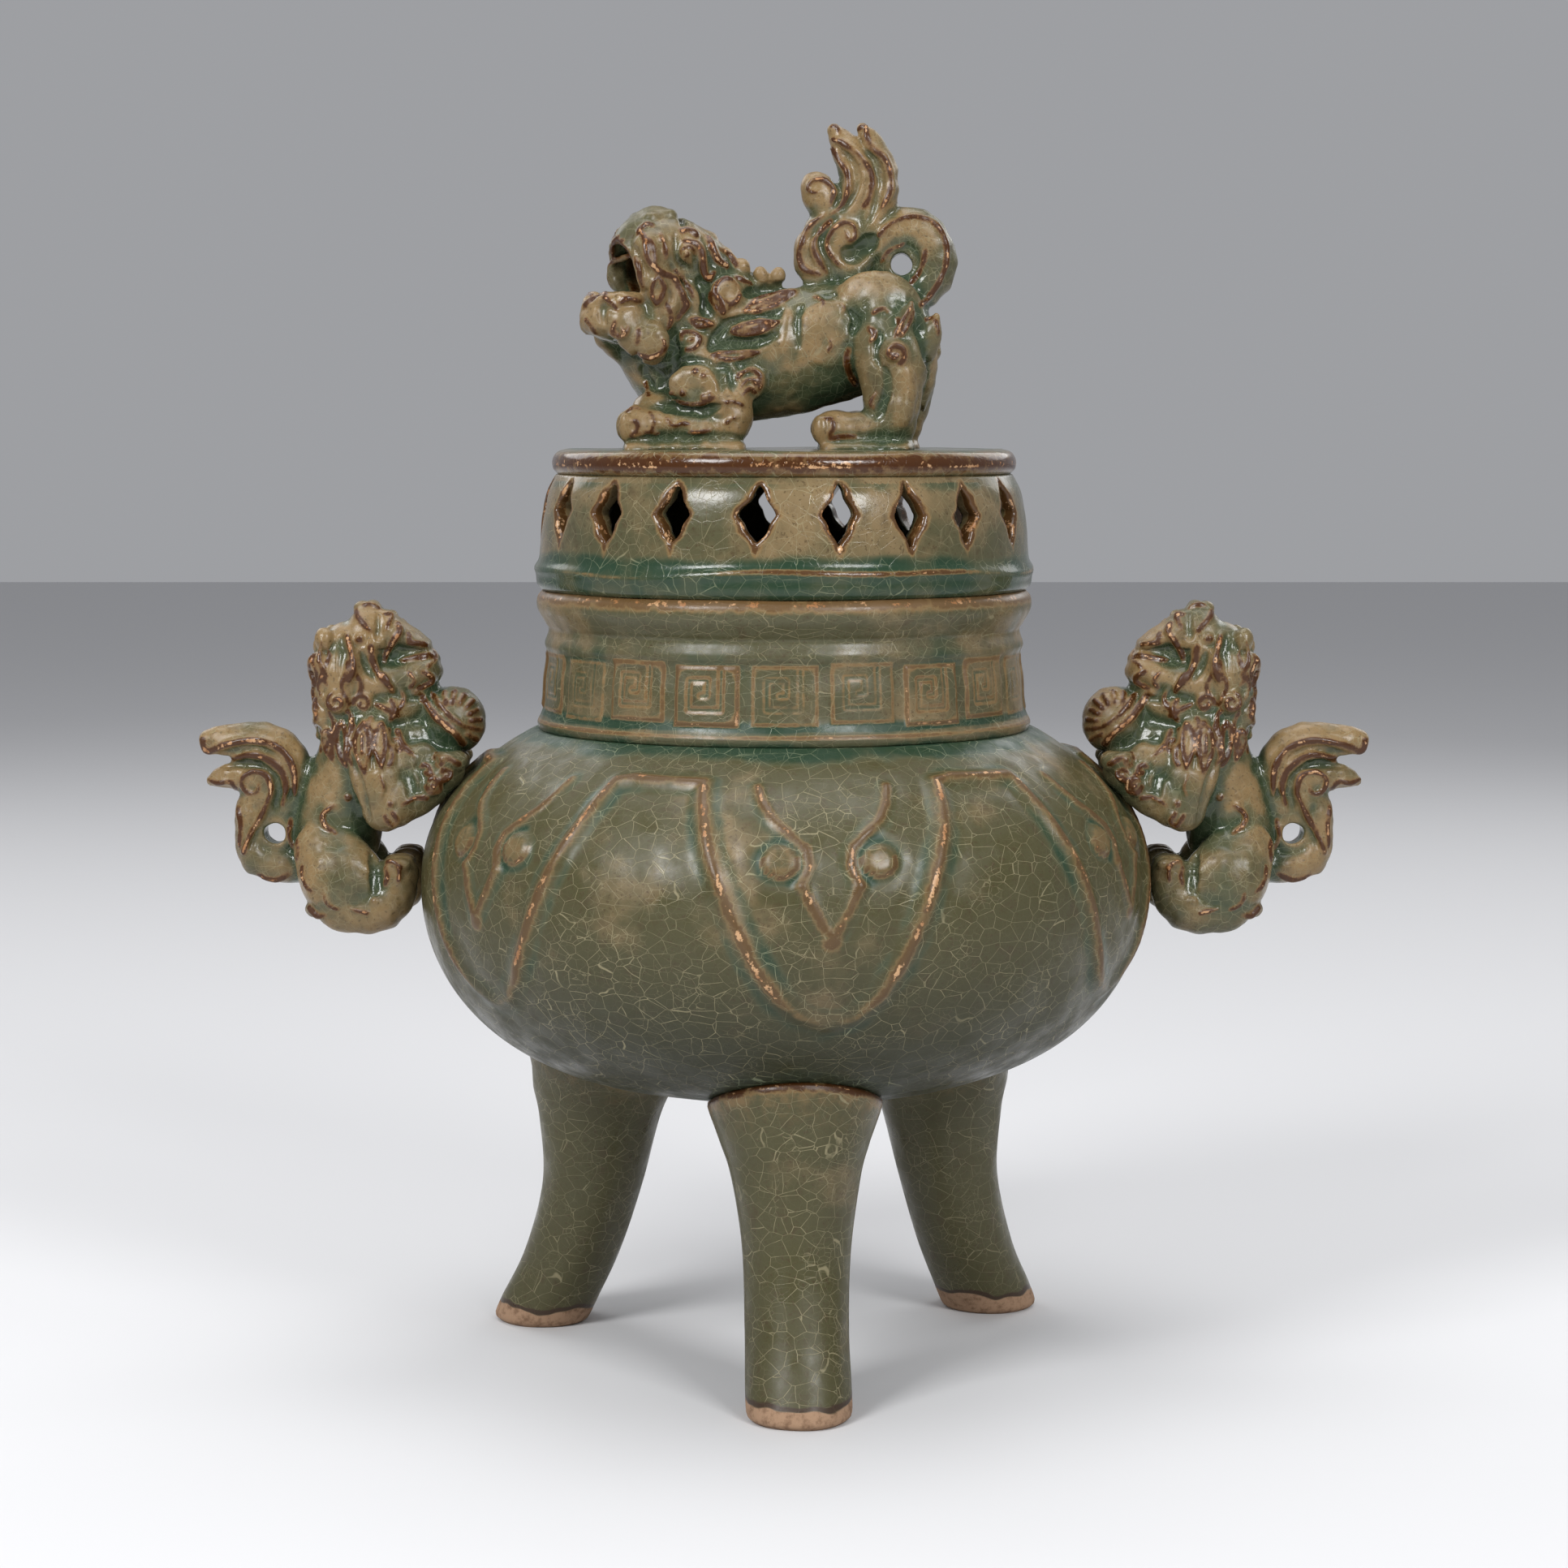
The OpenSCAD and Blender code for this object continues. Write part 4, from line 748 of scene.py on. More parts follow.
def handle_limbs(clay):
    """Arms that reach for the bowl, and hind feet set against it."""
    for s in (-1, 1):
        clay.limb([(98, s * 9, 147, 5.6, 4.4), (95.6, s * 11, 138.5, 6, 5),
                   (93.8, s * 11.4, 131.6, 5, 4.8)])
        clay.limb([(94, s * 11.2, 131, 5.2, 4.8), (88, s * 10, 134.4, 5.6, 5),
                   (82, s * 8.4, 138.6, 5, 4.8)])
        clay.limb([(92, s * 9, 141, 5, 4), (85, s * 8, 143, 4, 4)])
        paw(clay, (79.6, s * 7.8, 140.4), (4.4, 4.8, 4.4), (-0.75, 0.66))
        clay.limb([(108, s * 7.6, 121, 8, 4.8), (104.4, s * 10.8, 114.8, 9.6, 5.2),
                   (103, s * 11.4, 109, 7.2, 4.8)])
        clay.limb([(106, s * 11.2, 107.8, 4, 4.4), (98, s * 11.5, 106.8, 5, 5), (92.4, s * 11, 109.6, 5, 5),
                   (90.8, s * 10.5, 114.8, 4.4, 4.8)])
        paw(clay, (90.8, s * 10.5, 115.8), (4.4, 5, 4.4), (-0.1, 1))
        clay.limb([(108, s * 11, 109, 3, 3), (111, s * 11, 107.6, 2.1, 2.3)])


def handle_tail(clay):
    """Tail: stem, ring and plume. Then the ball under the chin."""
    clay.limb([(113, 0, 117.5, 4.4, 4.4), (119, 0, 116.6, 4, 4.4), (125.4, 0, 118.2, 4, 4.4),
               (127, 0, 124, 3.8, 4.4), (125.6, 0, 129.6, 4.6, 4.6), (122, 0, 134.5, 6, 4.8)])
    clay.ball((120.8, 0, 125), (7.4, 3.8, 7.4), 1)
    clay.limb([(118, 0, 131, 4, 4), (117.8, 0, 138.4, 5.6, 4.6), (121, 0, 143.8, 6, 4.8),
               (127, 0, 146, 4.8, 4.4), (132.6, 0, 146.4, 3.6, 3.6), (136.6, 0, 146.6, 2.4, 2.6)])
    clay.limb([(121, 0, 137, 6, 4.6), (129, 0, 138.4, 3.8, 4), (134.4, 0, 137.6, 2.2, 2.4),
               (136.2, 0, 137, 1.5, 1.7)])
    clay.limb([(138, 0, 142, 1.2, 8), (132.4, 0, 142.2, 0.7, 8)], take=True)
    clay.ball((120.8, 0, 124.7), (2.5, 20, 2.5), 0.8, take=True)
    clay.ball((HANDLE_BALL[0], 0, HANDLE_BALL[1]), BALL_R, 0.5)


def handle_flank(clay):
    """Haunch, knuckles, grooves and eye sockets, and glaze in the creases."""
    clay.boss((104, 114.5), (8, 2.4, 6), 0.75, 3)
    for knuckle in ((82.5, 137), (80.5, 139.5), (79, 142.5)):
        clay.boss(knuckle, (2.2, 1.6, 2), 0.3, 0.6)
    draw(clay, LION_GROOVES, groove=True)
    clay.boss(HANDLE_EYE, (2.3, 1.2, 2.2), -0.2, 0.8, take=True)
    clay.flood(3.6, 0.3)


def handle_lines(clay):
    """Lines, curls, locks and specks."""
    for turn in range(56, 217, 20):
        way = np.array([math.cos(math.radians(turn)), math.sin(math.radians(turn))])
        clay.stroke([np.array(HANDLE_BALL) + r * way for r in (4.6, 6, 7.4)], 0.8, 0.3, tint=0.9)
    for x, top, low in ((110.5, 166, 153), (107.5, 170, 160), (103, 166, 156), (100, 165, 158),
                        (106.5, 154, 146), (101.5, 152, 142), (96.5, 153, 144), (92.5, 150, 142)):
        strand = [(x + 0.8 * math.sin(0.7 * z + x), z) for z in np.linspace(top, low, 7)]
        clay.stroke(strand, 0.7)
    draw(clay, LION_RIDGES)
    clay.boss(HANDLE_EYE, (1.3, 1, 1.3), -0.1, 0.5, tint=1.1)
    clay.boss(CHEEK_CURL, (3, 1.9, 3.2), 0.45)
    clay.curl(CHEEK_CURL, 2.5, 1.3, 90, -1, 0.8)
    clay.boss(NECK_CURL, (2.6, 1.6, 2.6), 0.45)
    clay.curl(NECK_CURL, 2.2, 1.2, 0, 1, 0.75)
    clay.curl((91, 146), 1.7, 1.0, 60, 1, 0.65)
    for knuckle in ((84, 140.5), (81, 142.5), (82, 137.5), (79, 139.5)):
        clay.curl(knuckle, 1.6, 0.9, 30, 1, 0.65)
    for root, tip, width, hairs in (((104, 152), (103, 141.5), 2.6, 0), ((98.5, 152), (98, 140), 3.4, 1),
                                    ((94.5, 151.5), (94, 141.5), 2.6, 0), ((107.5, 150), (106.5, 143), 2, 0)):
        clay.lock(root, tip, 0.4, width, hairs=hairs)
    for spot in ((108, 149), (110, 148), (102.5, 134), (92, 133), (87, 158.5), (96, 110)):
        clay.boss(spot, (1, 0.9, 1), 0.2, 0.5, tint=0.8)


def sculpt_handle():
    """A lion climbing the right side of the bowl, in mm. The left one is its mirror image."""
    clay = Clay((68, -20, 97), (142, 20, 182), LION_GRAIN)
    for part in (handle_trunk, handle_head, handle_limbs, handle_tail, handle_flank, handle_lines):
        part(clay)
    clay.settle()
    # Seated on the bowl, a little way into its wall
    x, y, z = np.meshgrid(*clay.axes, indexing="ij", sparse=True)
    clear = np.where(z > NECK_Z, FAR, np.hypot(x, y) - bowl_radius(z))
    clay.d = np.maximum(clay.d, -(clear + SEAT).astype(np.float32))
    verts, faces, marks = clay.skinned()
    # Greener where the skin nears the bowl: partly glaze pooled at the join, partly painted shade in the gap
    gap = np.hypot(verts[:, 0], verts[:, 1]) - bowl_radius(verts[:, 2])
    marks["hollow"] = marks["hollow"] + 0.6 * np.exp(-np.maximum(gap, 0) / 1.5) * (verts[:, 2] < NECK_Z)
    return verts, faces, marks


def wave(form, count, size):
    """Slow unevenness of hand-thrown clay over a turned form, about size mm high."""
    out = 0
    for _ in range(count):
        turns, rise, shift = rng.integers(2, 9), rng.normal(0, 0.09), rng.uniform(0, 6.3)
        out = out + np.sin(turns * form.t + rise * form.z + shift)
    return size * out / math.sqrt(count)


def resample(start, end, gap):
    """Points after the start of a straight stretch of an outline, about gap mm apart."""
    a, b = np.array(start, float), np.array(end, float)
    n = max(1, round(np.linalg.norm(b - a) / gap))
    return a + (b - a) * (np.arange(1, n + 1)[:, None] / n)


def ring_faces(rows, columns, closed=False):
    """Blocks of faces round a grid of rows: closed on itself, or with a fan to a pole at each end."""
    def at(i, j):
        return (i % rows) * columns + j % columns

    i, j = np.arange(rows if closed else rows - 1)[:, None], np.arange(columns)
    quads = np.stack([at(i, j), at(i, j + 1), at(i + 1, j + 1), at(i + 1, j)], -1).reshape(-1, 4)
    if closed:
        return [quads]
    first, last = [np.full(columns, rows * columns + k) for k in (0, 1)]
    first_fan = np.stack([first, at(0, j + 1), at(0, j)], 1)
    last_fan = np.stack([last, at(-1, j), at(-1, j + 1)], 1)
    return [quads, first_fan, last_fan]


class Turned:
    """A turned form: an outline of r and z taken round the axis, with relief raised along its normal."""

    def __init__(self, outline, columns, closed=True):
        p = np.asarray(outline, float)
        self.columns, self.closed = columns, closed
        step = np.roll(p, -1, 0) - np.roll(p, 1, 0)
        if not closed:
            step[0], step[-1] = (1, 0), (-1, 0)
        step /= np.linalg.norm(step, axis=1)[:, None] + 1e-9
        self.normal = np.stack([step[:, 1], -step[:, 0]], 1)
        self.r, self.z = [np.repeat(p[:, i][:, None], columns, 1) for i in (0, 1)]
        self.t = np.repeat(np.arange(columns)[None, :] * 2 * math.pi / columns, len(p), 0)

    def pack(self, field):
        """A field of the grid as one row for each vertex. An open form's end rows are poles on the axis."""
        field = np.asarray(field, float)
        wide = field.shape[2:]
        if self.closed:
            return field.reshape(-1, *wide)
        return np.concatenate([field[1:-1].reshape(-1, *wide), [field[0].mean(0), field[-1].mean(0)]])

    def build(self, height):
        """Vertices and faces, with height in mm at each place of the grid."""
        r = self.r + height * self.normal[:, 0][:, None]
        z = self.z + height * self.normal[:, 1][:, None]
        verts = self.pack(np.stack([r * np.sin(self.t), -r * np.cos(self.t), z], -1))
        rows = len(r) if self.closed else len(r) - 2
        return verts, ring_faces(rows, self.columns, self.closed)


def distance_to(path, u, v):
    """Distance of each u, v from a drawn path, in mm."""
    best = np.full(np.shape(u), 99.0)
    path = np.asarray(path, float)
    for a, b in zip(path[:-1], path[1:]):
        e = b - a
        t = np.clip(((u - a[0]) * e[0] + (v - a[1]) * e[1]) / (e @ e + 1e-9), 0, 1)
        best = np.minimum(best, np.hypot(u - a[0] - t * e[0], v - a[1] - t * e[1]))
    return best


def bell(d, width):
    """A soft band, 1 where d is 0."""
    return np.exp(-((d / width) ** 2))


def within(d, soft):
    """1 where d is well below 0 and 0 where it is well above, with a soft edge."""
    return 1 / (1 + np.exp(d / soft))


def most(*fields):
    """The greatest of several fields at each place."""
    return np.maximum.reduce(np.broadcast_arrays(*fields))


# One lappet of the bowl and its mask, as degrees from the lappet's middle and heights in mm
LAPPETS, LAPPET_TURN = 6, 6.9
LAPPET = [(-21.2, 143.3), (-20.4, 139), (-18.6, 131), (-16.4, 123), (-14, 114.5), (-11.4, 105.5), (-8, 98),
          (-4.4, 93.4), (0, 91.2), (4, 92.8), (7.6, 98), (10.8, 106.5), (13.6, 116), (16.4, 126), (19, 134),
          (21.4, 143)]
BAR = [(21.4, 143.1), (25, 143.8), (30, 143.5), (38.8, 143.3)]
BROW = [(11.4, 142.6), (10.4, 139.6), (8.6, 136.2), (5.6, 133), (3.6, 130.6), (3.0, 127), (4.2, 123)]
NOSE = [(4.2, 122.8), (2.4, 117), (0.6, 112.4)]
STUD, NOSE_KNOB, NOSE_TIP, STUD_R = (7.4, 127.9), (4.3, 122.6), (0, 110.4), 3.5
LAPPET_LOW, LAPPET_HIGH = 88, 146


def bowl_outline(inset, low_count, high_count, stop):
    """The bowl's outline of r and z from the pole under it up its wall, inset from its outside."""
    down, up = np.linspace(math.pi / 2, 0, low_count), np.linspace(0, stop, high_count)[1:]
    radius, power = BELLY_R - inset, 2 / UPPER_CURVE
    lower = np.stack([radius * np.cos(down) ** (2 / LOWER_CURVE),
                      BELLY_Z - (BELLY_DROP - inset) * np.sin(down)], 1)
    upper = np.stack([radius * np.cos(up) ** power, BELLY_Z + (BELLY_RISE - inset) * np.sin(up) ** power], 1)
    lower[0, 0] = 0
    return np.vstack([lower, upper])


def bowl_rows(outline):
    """Rows of the bowl's outside, closer together over the lappets, and how far along the outline each is."""
    fine, coarse = ((0.72, 2.0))
    length = np.concatenate([[0], np.cumsum(np.linalg.norm(np.diff(outline, axis=0), axis=1))])
    along = [0.0]
    while along[-1] < length[-1] - 0.2:
        z = np.interp(along[-1], length, outline[:, 1])
        along.append(along[-1] + (fine if LAPPET_LOW < z < LAPPET_HIGH else coarse))
    along[-1] = length[-1]
    return np.stack([np.interp(along, length, outline[:, i]) for i in (0, 1)], 1), along


def make_bowl(material):
    """The bowl with its six hanging lappets, each with a mask of two studs."""
    stop = math.asin(((NECK_Z - BELLY_Z) / BELLY_RISE) ** (UPPER_CURVE / 2))
    outer, along = bowl_rows(bowl_outline(0, 90, 60, stop))
    rows = len(outer)
    inner = bowl_outline(WALL, 14, 8, 1.2)
    inner = inner[(inner[:, 1] < BELLY_Z) | (inner[:, 0] > BORE)]
    outline = np.vstack([outer, [(BORE + 3, NECK_Z), (BORE, NECK_Z)], inner[::-1]])
    form = Turned(outline, 560, closed=False)
    # The drawing is laid out flat: mm round the bowl at a radius of 80, and mm along its outline
    per_degree, pitch = math.radians(80), 360 / LAPPETS

    def sheet(spot):
        return spot[0] * per_degree, np.interp(spot[1], outer[:, 1], along)

    def from_line(path, u):
        return distance_to([sheet(spot) for spot in path], u, v)

    def from_spot(spot, u):
        return np.hypot(u - sheet(spot)[0], v - sheet(spot)[1])

    off_sheet = [-200.0] * (len(outline) - rows)
    v = np.repeat(np.array(along + off_sheet)[:, None], form.columns, 1)
    u = ((np.degrees(form.t) - LAPPET_TURN + pitch / 2) % pitch - pitch / 2) * per_degree
    bar = np.minimum(from_line(BAR, u), from_line(BAR, u + pitch * per_degree))
    edge = np.minimum(from_line(LAPPET, u), bar)
    mask = np.minimum(from_line(BROW, np.abs(u)), from_line(NOSE, np.abs(u)))
    stud, knob = from_spot(STUD, np.abs(u)), from_spot(NOSE_KNOB, np.abs(u))
    tip = from_spot(NOSE_TIP, u)
    disc = within(stud - STUD_R, 0.28)
    fade = np.clip((form.z - 92) / 9, 0, 1)
    height = 1.2 * bell(edge, 1.7) * (0.45 + 0.55 * fade) - 0.3 * bell(edge - 4.4, 2.2)
    height = height + 0.8 * bell(mask, 1.2) + 0.8 * bell(tip, 1.7) + 0.6 * bell(knob, 1.3)
    height = height + 0.95 * disc - 0.35 * bell(stud - 5.2, 1.1)
    shaky = 0.85 + 0.15 * np.sin(form.t * 23 + form.z * 0.4) * np.sin(form.t * 11 - form.z * 0.23)
    # The brown arc along only the lower edge of each stud is painted shade
    line = most((0.28 * bell(edge, 1.8) + 0.78 * bell(edge, 0.85)) * (0.15 + 0.85 * fade) * shaky,
                (0.22 * bell(mask, 1.4) + 0.75 * bell(mask, 0.75)) * shaky,
                0.95 * bell(tip, 1.7), 0.7 * bell(knob, 1.1), 0.24 * disc,
                0.85 * bell(stud - STUD_R - 0.1, 0.4) * (form.z < 129))
    hollow = 0.5 * bell(edge - 3.2, 1.5) + 0.4 * bell(mask - 2.3, 1.1)
    hollow = hollow + 0.5 * bell(stud - 5, 1.1) - 0.4 * disc
    # At the neck's foot the glaze pools; greener towards the bottom is partly pooled glaze, partly painted
    # shade under the belly
    hollow = hollow + 0.9 * bell(form.z - NECK_Z + 0.5, 2.2) + 0.25 * np.clip((100 - form.z) / 36, 0, 1)
    x, y = form.r * np.sin(form.t), -form.r * np.cos(form.t)
    for turn in map(math.radians, LEG_TURNS.values()):
        away = np.hypot(x - LEG_CIRCLE * math.cos(turn), y - LEG_CIRCLE * math.sin(turn)) - LEG_TOP
        hollow = hollow + 0.9 * bell(away, 3.2) * (form.z < 95)
    # The wall is sunk a little at its widest, so that the relief stays inside the solid's box
    height = height + wave(form, 6, 0.14) - 0.75 * bell(form.z - BELLY_Z, 30)
    height[rows:] = 0
    height[rows - 3:rows] *= 0.3
    height[:3] = height[:3].mean()
    marks = {"hollow": form.pack(hollow), "line": form.pack(line)}
    object_of("bowl_glazed", *form.build(height), marks, material, "burner", "bowl_glaze", ["bowl"])


# The neck's outside as r and height above its foot, and its band of square spirals
NECK = [(58, 0), (58.4, 1.6), (57.5, 3.6), (56.7, 6.5), (56.4, 12), (55.8, 17), (56.7, 20), (55.8, 23.2),
        (56.7, 25), (58.4, 28.2), (58.4, 31), (57.2, 32.6)]
FRETS, FRET_START, FRET_Z, FRET_R, FRET_TALL, FRET_DEGREES, FRET_GAP = 20, 242.8, 155.0, 56.5, 13.0, 14.6, 1.7
# A spiral's groove, as shares of its panel's width and height
SPIRAL = [(0.74, 1.02), (0.74, 0.26), (0.22, 0.26), (0.22, 0.76), (0.52, 0.76), (0.52, 0.5), (0.42, 0.5)]


def make_neck(material):
    """The neck with its ribs and a band of square spirals."""
    outer = spline(NECK, 0.42) + (0, NECK_Z)
    lip = [(56.2, LID_Z), (BORE + 0.6, LID_Z), (BORE, LID_Z - 0.6)]
    bore = resample(lip[-1], (BORE, NECK_Z), 4.0)
    outline = np.vstack([outer, lip, bore, [(54, NECK_Z)]])
    form = Turned(outline, 900)
    outside = np.arange(len(outline))[:, None] < len(outer)
    per_degree, pitch = math.radians(FRET_R), 360 / FRETS
    degrees = (np.degrees(form.t) + FRET_START) % 360
    unit = np.floor(degrees / pitch)
    wide, tall = FRET_DEGREES * per_degree, FRET_TALL
    u = (degrees - pitch * unit - FRET_GAP) * per_degree
    v = form.z - FRET_Z - 0.5 * np.sin(unit * 2.4)
    panel = np.maximum(np.abs(u - wide / 2) - wide / 2, np.abs(v - tall / 2) - tall / 2)
    cut = distance_to(np.array(SPIRAL) * (wide, tall), u, v) - 0.55
    # Each panel is pressed a little deeper or shallower than its neighbours
    deep = 0.7 + 0.3 * np.sin(unit * 1.7 + 0.6)
    raised = within(panel, 0.16)
    sunk = raised * within(cut, 0.16)
    height = ((0.7 * raised - 0.3 * sunk) * deep + wave(form, 5, 0.1)) * outside
    top = np.minimum(np.hypot(u - wide, v - tall), np.hypot(u, v - tall))
    corner = np.minimum(top, np.hypot(u - wide, v))
    rim = np.maximum(bell(panel + 0.1, 0.42), 0.6 * bell(cut - 0.1, 0.36) * raised)
    line = most((0.86 + 0.14 * bell(corner, 3.0)) * rim * deep,
                0.55 * bell(panel + 0.6, 0.8) * bell(corner, 2.4) * deep,
                0.78 * bell(form.z - 181.8, 1.6),
                0.8 * bell(form.z - 152.2, 0.4) * (0.75 + 0.25 * np.sin(5 * form.t)))
    hollow = 0.4 * sunk + 0.22 * (1 - raised) * (np.abs(form.z - 161) < 7.5)
    for share, z, width in ((0.8, 154.2, 1.3), (0.6, 149.8, 1.6), (0.4, 169.5, 2.6), (0.2, 173.4, 1.2)):
        hollow = hollow + share * bell(form.z - z, width)
    marks = {"hollow": form.pack(hollow * outside), "line": form.pack(line * outside)}
    object_of("neck_glazed", *form.build(height), marks, material, "burner", "neck_glaze", ["neck"])


# The lid's wall as r and height above its foot, and turns of vents from the middle to the right, as seen
DRUM = [(57, 0), (58.4, 1.6), (58.4, 5.6), (57.8, 7.6), (57.5, 11), (57.1, 17), (55.9, 23), (53.8, 27.2)]
DRUM_BACK = [(49.6, 27.2), (53.8, 8), (53.8, 0)]
SEEN_VENTS, SEEN_TURN = (-6.1, 12.6, 29.7, 46.6, 65.7), 70


def outline_distance(outline, r, z):
    """Signed distance in mm from a closed outline of r and z, less than zero inside it."""
    p = np.asarray(outline, float)
    r, z = np.broadcast_arrays(r, z)
    d = distance_to(np.vstack([p, p[:1]]), r, z)
    inside = np.zeros(np.shape(r), bool)
    for a, b in zip(p, np.roll(p, -1, 0)):
        crosses = (a[1] > z) != (b[1] > z)
        with np.errstate(divide="ignore", invalid="ignore"):
            inside ^= crosses & (r < (b[0] - a[0]) * (z - a[1]) / (b[1] - a[1]) + a[0])
    return np.where(inside, -d, d)


def roll_height(theta):
    """Height above the lid's foot of the roll of glaze that wavers round it."""
    return 5.4 + 0.7 * np.sin(3 * theta + 1) + 0.4 * np.sin(7 * theta + 2.5)


def cut_vent(clay, turn):
    """One diamond vent, cut by hand, with a tinted lip."""
    a = math.radians(turn)
    wide, tall = VENT_WIDE / 2 * rng.uniform(0.9, 1.08), VENT_TALL / 2 * rng.uniform(0.92, 1.05)
    lean, shift = rng.normal(0, 0.05), rng.normal(0, 0.35)
    middle = (57 * math.sin(a), -57 * math.cos(a), VENT_Z + shift)
    cut, x, y, z = clay.window([middle], 13)
    v = z - middle[2]
    along = x * math.cos(a) + y * math.sin(a) - lean * v
    out = x * math.sin(a) - y * math.cos(a)
    wobble = 1 + 0.06 * np.sin(1.3 * v + turn) + 0.05 * np.sin(1.1 * along - turn)
    d = (np.abs(along) / wide + np.abs(v) / tall - wobble) / math.hypot(1 / wide, 1 / tall)
    clay.press(cut, np.maximum(d, 40 - out), 0.9, take=True)
    lip = np.maximum(0.6 * bell(d - 0.5, 0.8), 1.1 * bell(d - 0.2, 0.4)) * (out > 54)
    clay.line[cut] = np.maximum(clay.line[cut], lip)


def make_drum(material):
    """The lid's pierced wall: a thrown ring, cut through with diamond vents."""
    outline = np.vstack([spline(DRUM, 1.0), DRUM_BACK]) + (0, LID_Z)
    clay = Clay((-60.5, -60.5, LID_Z - 2), (60.5, 60.5, LID_Z + 29), GRAIN)
    gap = 0.25
    r = np.arange(46, 62, gap)
    wall = outline_distance(outline, r[:, None], clay.axes[2][None, :])
    x, y = np.meshgrid(clay.axes[0], clay.axes[1], indexing="ij")
    place = np.clip((np.hypot(x, y) - r[0]) / gap, 0, len(r) - 1.001)
    i, f = place.astype(int), (place % 1)[..., None]
    clay.d = (wall[i] * (1 - f) + wall[i + 1] * f).astype(np.float32)
    roll = LID_Z + roll_height(np.arctan2(x, -y))[..., None]
    bump = 0.55 * bell(clay.axes[2] - roll, 1.1) * (np.hypot(x, y) > 56)[..., None]
    clay.d -= bump.astype(np.float32)
    for turn in [VENT_TURN + 360 / VENTS * k for k in range(VENTS)]:
        seen = min(SEEN_VENTS, key=lambda q: abs(q - turn))
        cut_vent(clay, seen if abs(turn) < SEEN_TURN else turn)
    verts, faces, marks = clay.skinned()
    z = verts[:, 2] - LID_Z
    t = np.arctan2(verts[:, 0], -verts[:, 1])
    outside = np.hypot(verts[:, 0], verts[:, 1]) > 54.5
    broken = np.clip(0.45 + 0.8 * np.sin(2 * t + 0.9) + 0.5 * np.sin(5 * t), 0, 1)
    marks["line"] = np.maximum(marks["line"], 0.75 * bell(z - roll_height(t) - 0.2, 0.5) * broken * outside)
    band = within(z - 9.6 - 0.5 * np.sin(5 * t), 0.6)
    marks["hollow"] = 0.3 * marks["hollow"] + (1.05 * band + 0.7 * bell(z - 25.6, 2.4)) * outside
    object_of("lid_drum_pierced", verts, [faces], marks, material, "lid", "lid_glaze", ["lid_drum"])


# The lid plate's rounded edge as r and height above its underside
DECK_EDGE = [(53.3, 0), (54.4, 1.4), (54.5, 3.4), (53.4, 5.1), (51.2, 5.8)]


def make_deck(material):
    """The lid's top plate with its dark rounded rim."""
    thick = DECK_EDGE[-1][1]
    top = resample(DECK_EDGE[-1], (0, thick), 1.6)
    outline = np.vstack([[(0, 0), (30, 0), (48, 0)], spline(DECK_EDGE, 0.5), top]) + (0, DECK_Z - thick)
    form = Turned(outline, 420, closed=False)
    edge = form.r > 50
    lumps = wave(form, 5, 0.1) * (form.r > 20) * (form.z > DECK_Z - 5)
    rim = bell(form.z - (DECK_Z - 3.0), 2.2) * edge
    specks = 0.95 * bell(form.z - (DECK_Z - 3.7), 0.35) * edge * (0.7 + 0.3 * np.sin(9 * form.t))
    hollow = 0.45 + 0.5 * np.clip((form.r - 44) / 6, 0, 1) * (form.r < 51)
    marks = {"hollow": form.pack(hollow * (1 - rim)), "line": form.pack(np.maximum(0.72 * rim, specks))}
    object_of("lid_deck_glazed", *form.build(lumps), marks, material, "lid", "lid_rim_glaze", ["lid_deck"])


# A leg as rows of its middle's distance from the axis, 0, height and radius, then its flare into the bowl
# as shares of the way up to the bowl's wall, radius, and how far each ring goes into the wall
LEG_FOOT = (65.5, 0, 0, 10.6)
LEG = [(65.4, 0, 0.6, 11.4), (65.3, 0, 1.6, 11.9), (63.2, 0, 6, 12), (57.3, 0, 18, 11.8), (51.7, 0, 36, 12.4),
       (49.5, 0, 52, 14.8), (48.4, 0, 60, 17.2)]
LEG_FLARE = [(0.35, 18.4, 0), (0.65, 19.4, 0), (0.84, 19.9, 0), (0.95, 19.8, 0), (1.0, 19.2, 0),
             (1.0, 18, 1.2), (1.0, 12, 2)]


def under_bowl(x, y):
    """Height of the bowl's underside."""
    return BELLY_Z - BELLY_DROP * np.sqrt(1 - (np.hypot(x, y) / BELLY_R) ** LOWER_CURVE)


def make_leg(name, material):
    """One leg: it flares to a lip under the bowl and ends in a bare foot."""
    count = 128
    a = np.arange(count) * 2 * math.pi / count
    rings = []
    for middle, _, z, radius in np.vstack([[LEG_FOOT], spline(LEG, 0.9)]):
        q = radius + 0.12 * np.sin(3 * a + z * 0.09) + 0.1 * np.sin(5 * a - z * 0.13)
        rings.append(np.stack([middle + q * np.cos(a), q * np.sin(a), np.full(count, z)], 1))
    start = rings[-1][:, 2]
    for share, radius, into in LEG_FLARE:
        x, y = LEG_CIRCLE + radius * np.cos(a), radius * np.sin(a)
        rings.append(np.stack([x, y, start + (under_bowl(x, y) - 0.1 - start) * share + into], 1))
    verts = np.vstack(rings + [rings[0].mean(0), rings[-1].mean(0)])
    below = under_bowl(verts[:, 0], verts[:, 1]) - verts[:, 2]
    line = 0.45 * bell(below - 0.9, 1.0) + 0.4 * bell(below - 0.4, 0.35)
    line = line + 0.2 * np.exp(-np.maximum(below, 0) / 9)
    hollow = 0.9 * (np.arange(len(verts)) // count > len(rings) - 3)
    turn = math.radians(LEG_TURNS[name])
    c, s = math.cos(turn), math.sin(turn)
    verts = verts @ np.array([(c, s, 0), (-s, c, 0), (0, 0, 1)])
    object_of(name + "_glazed", verts, ring_faces(len(rings), count), {"hollow": hollow, "line": line},
              material, "burner", "leg_glaze", [name])


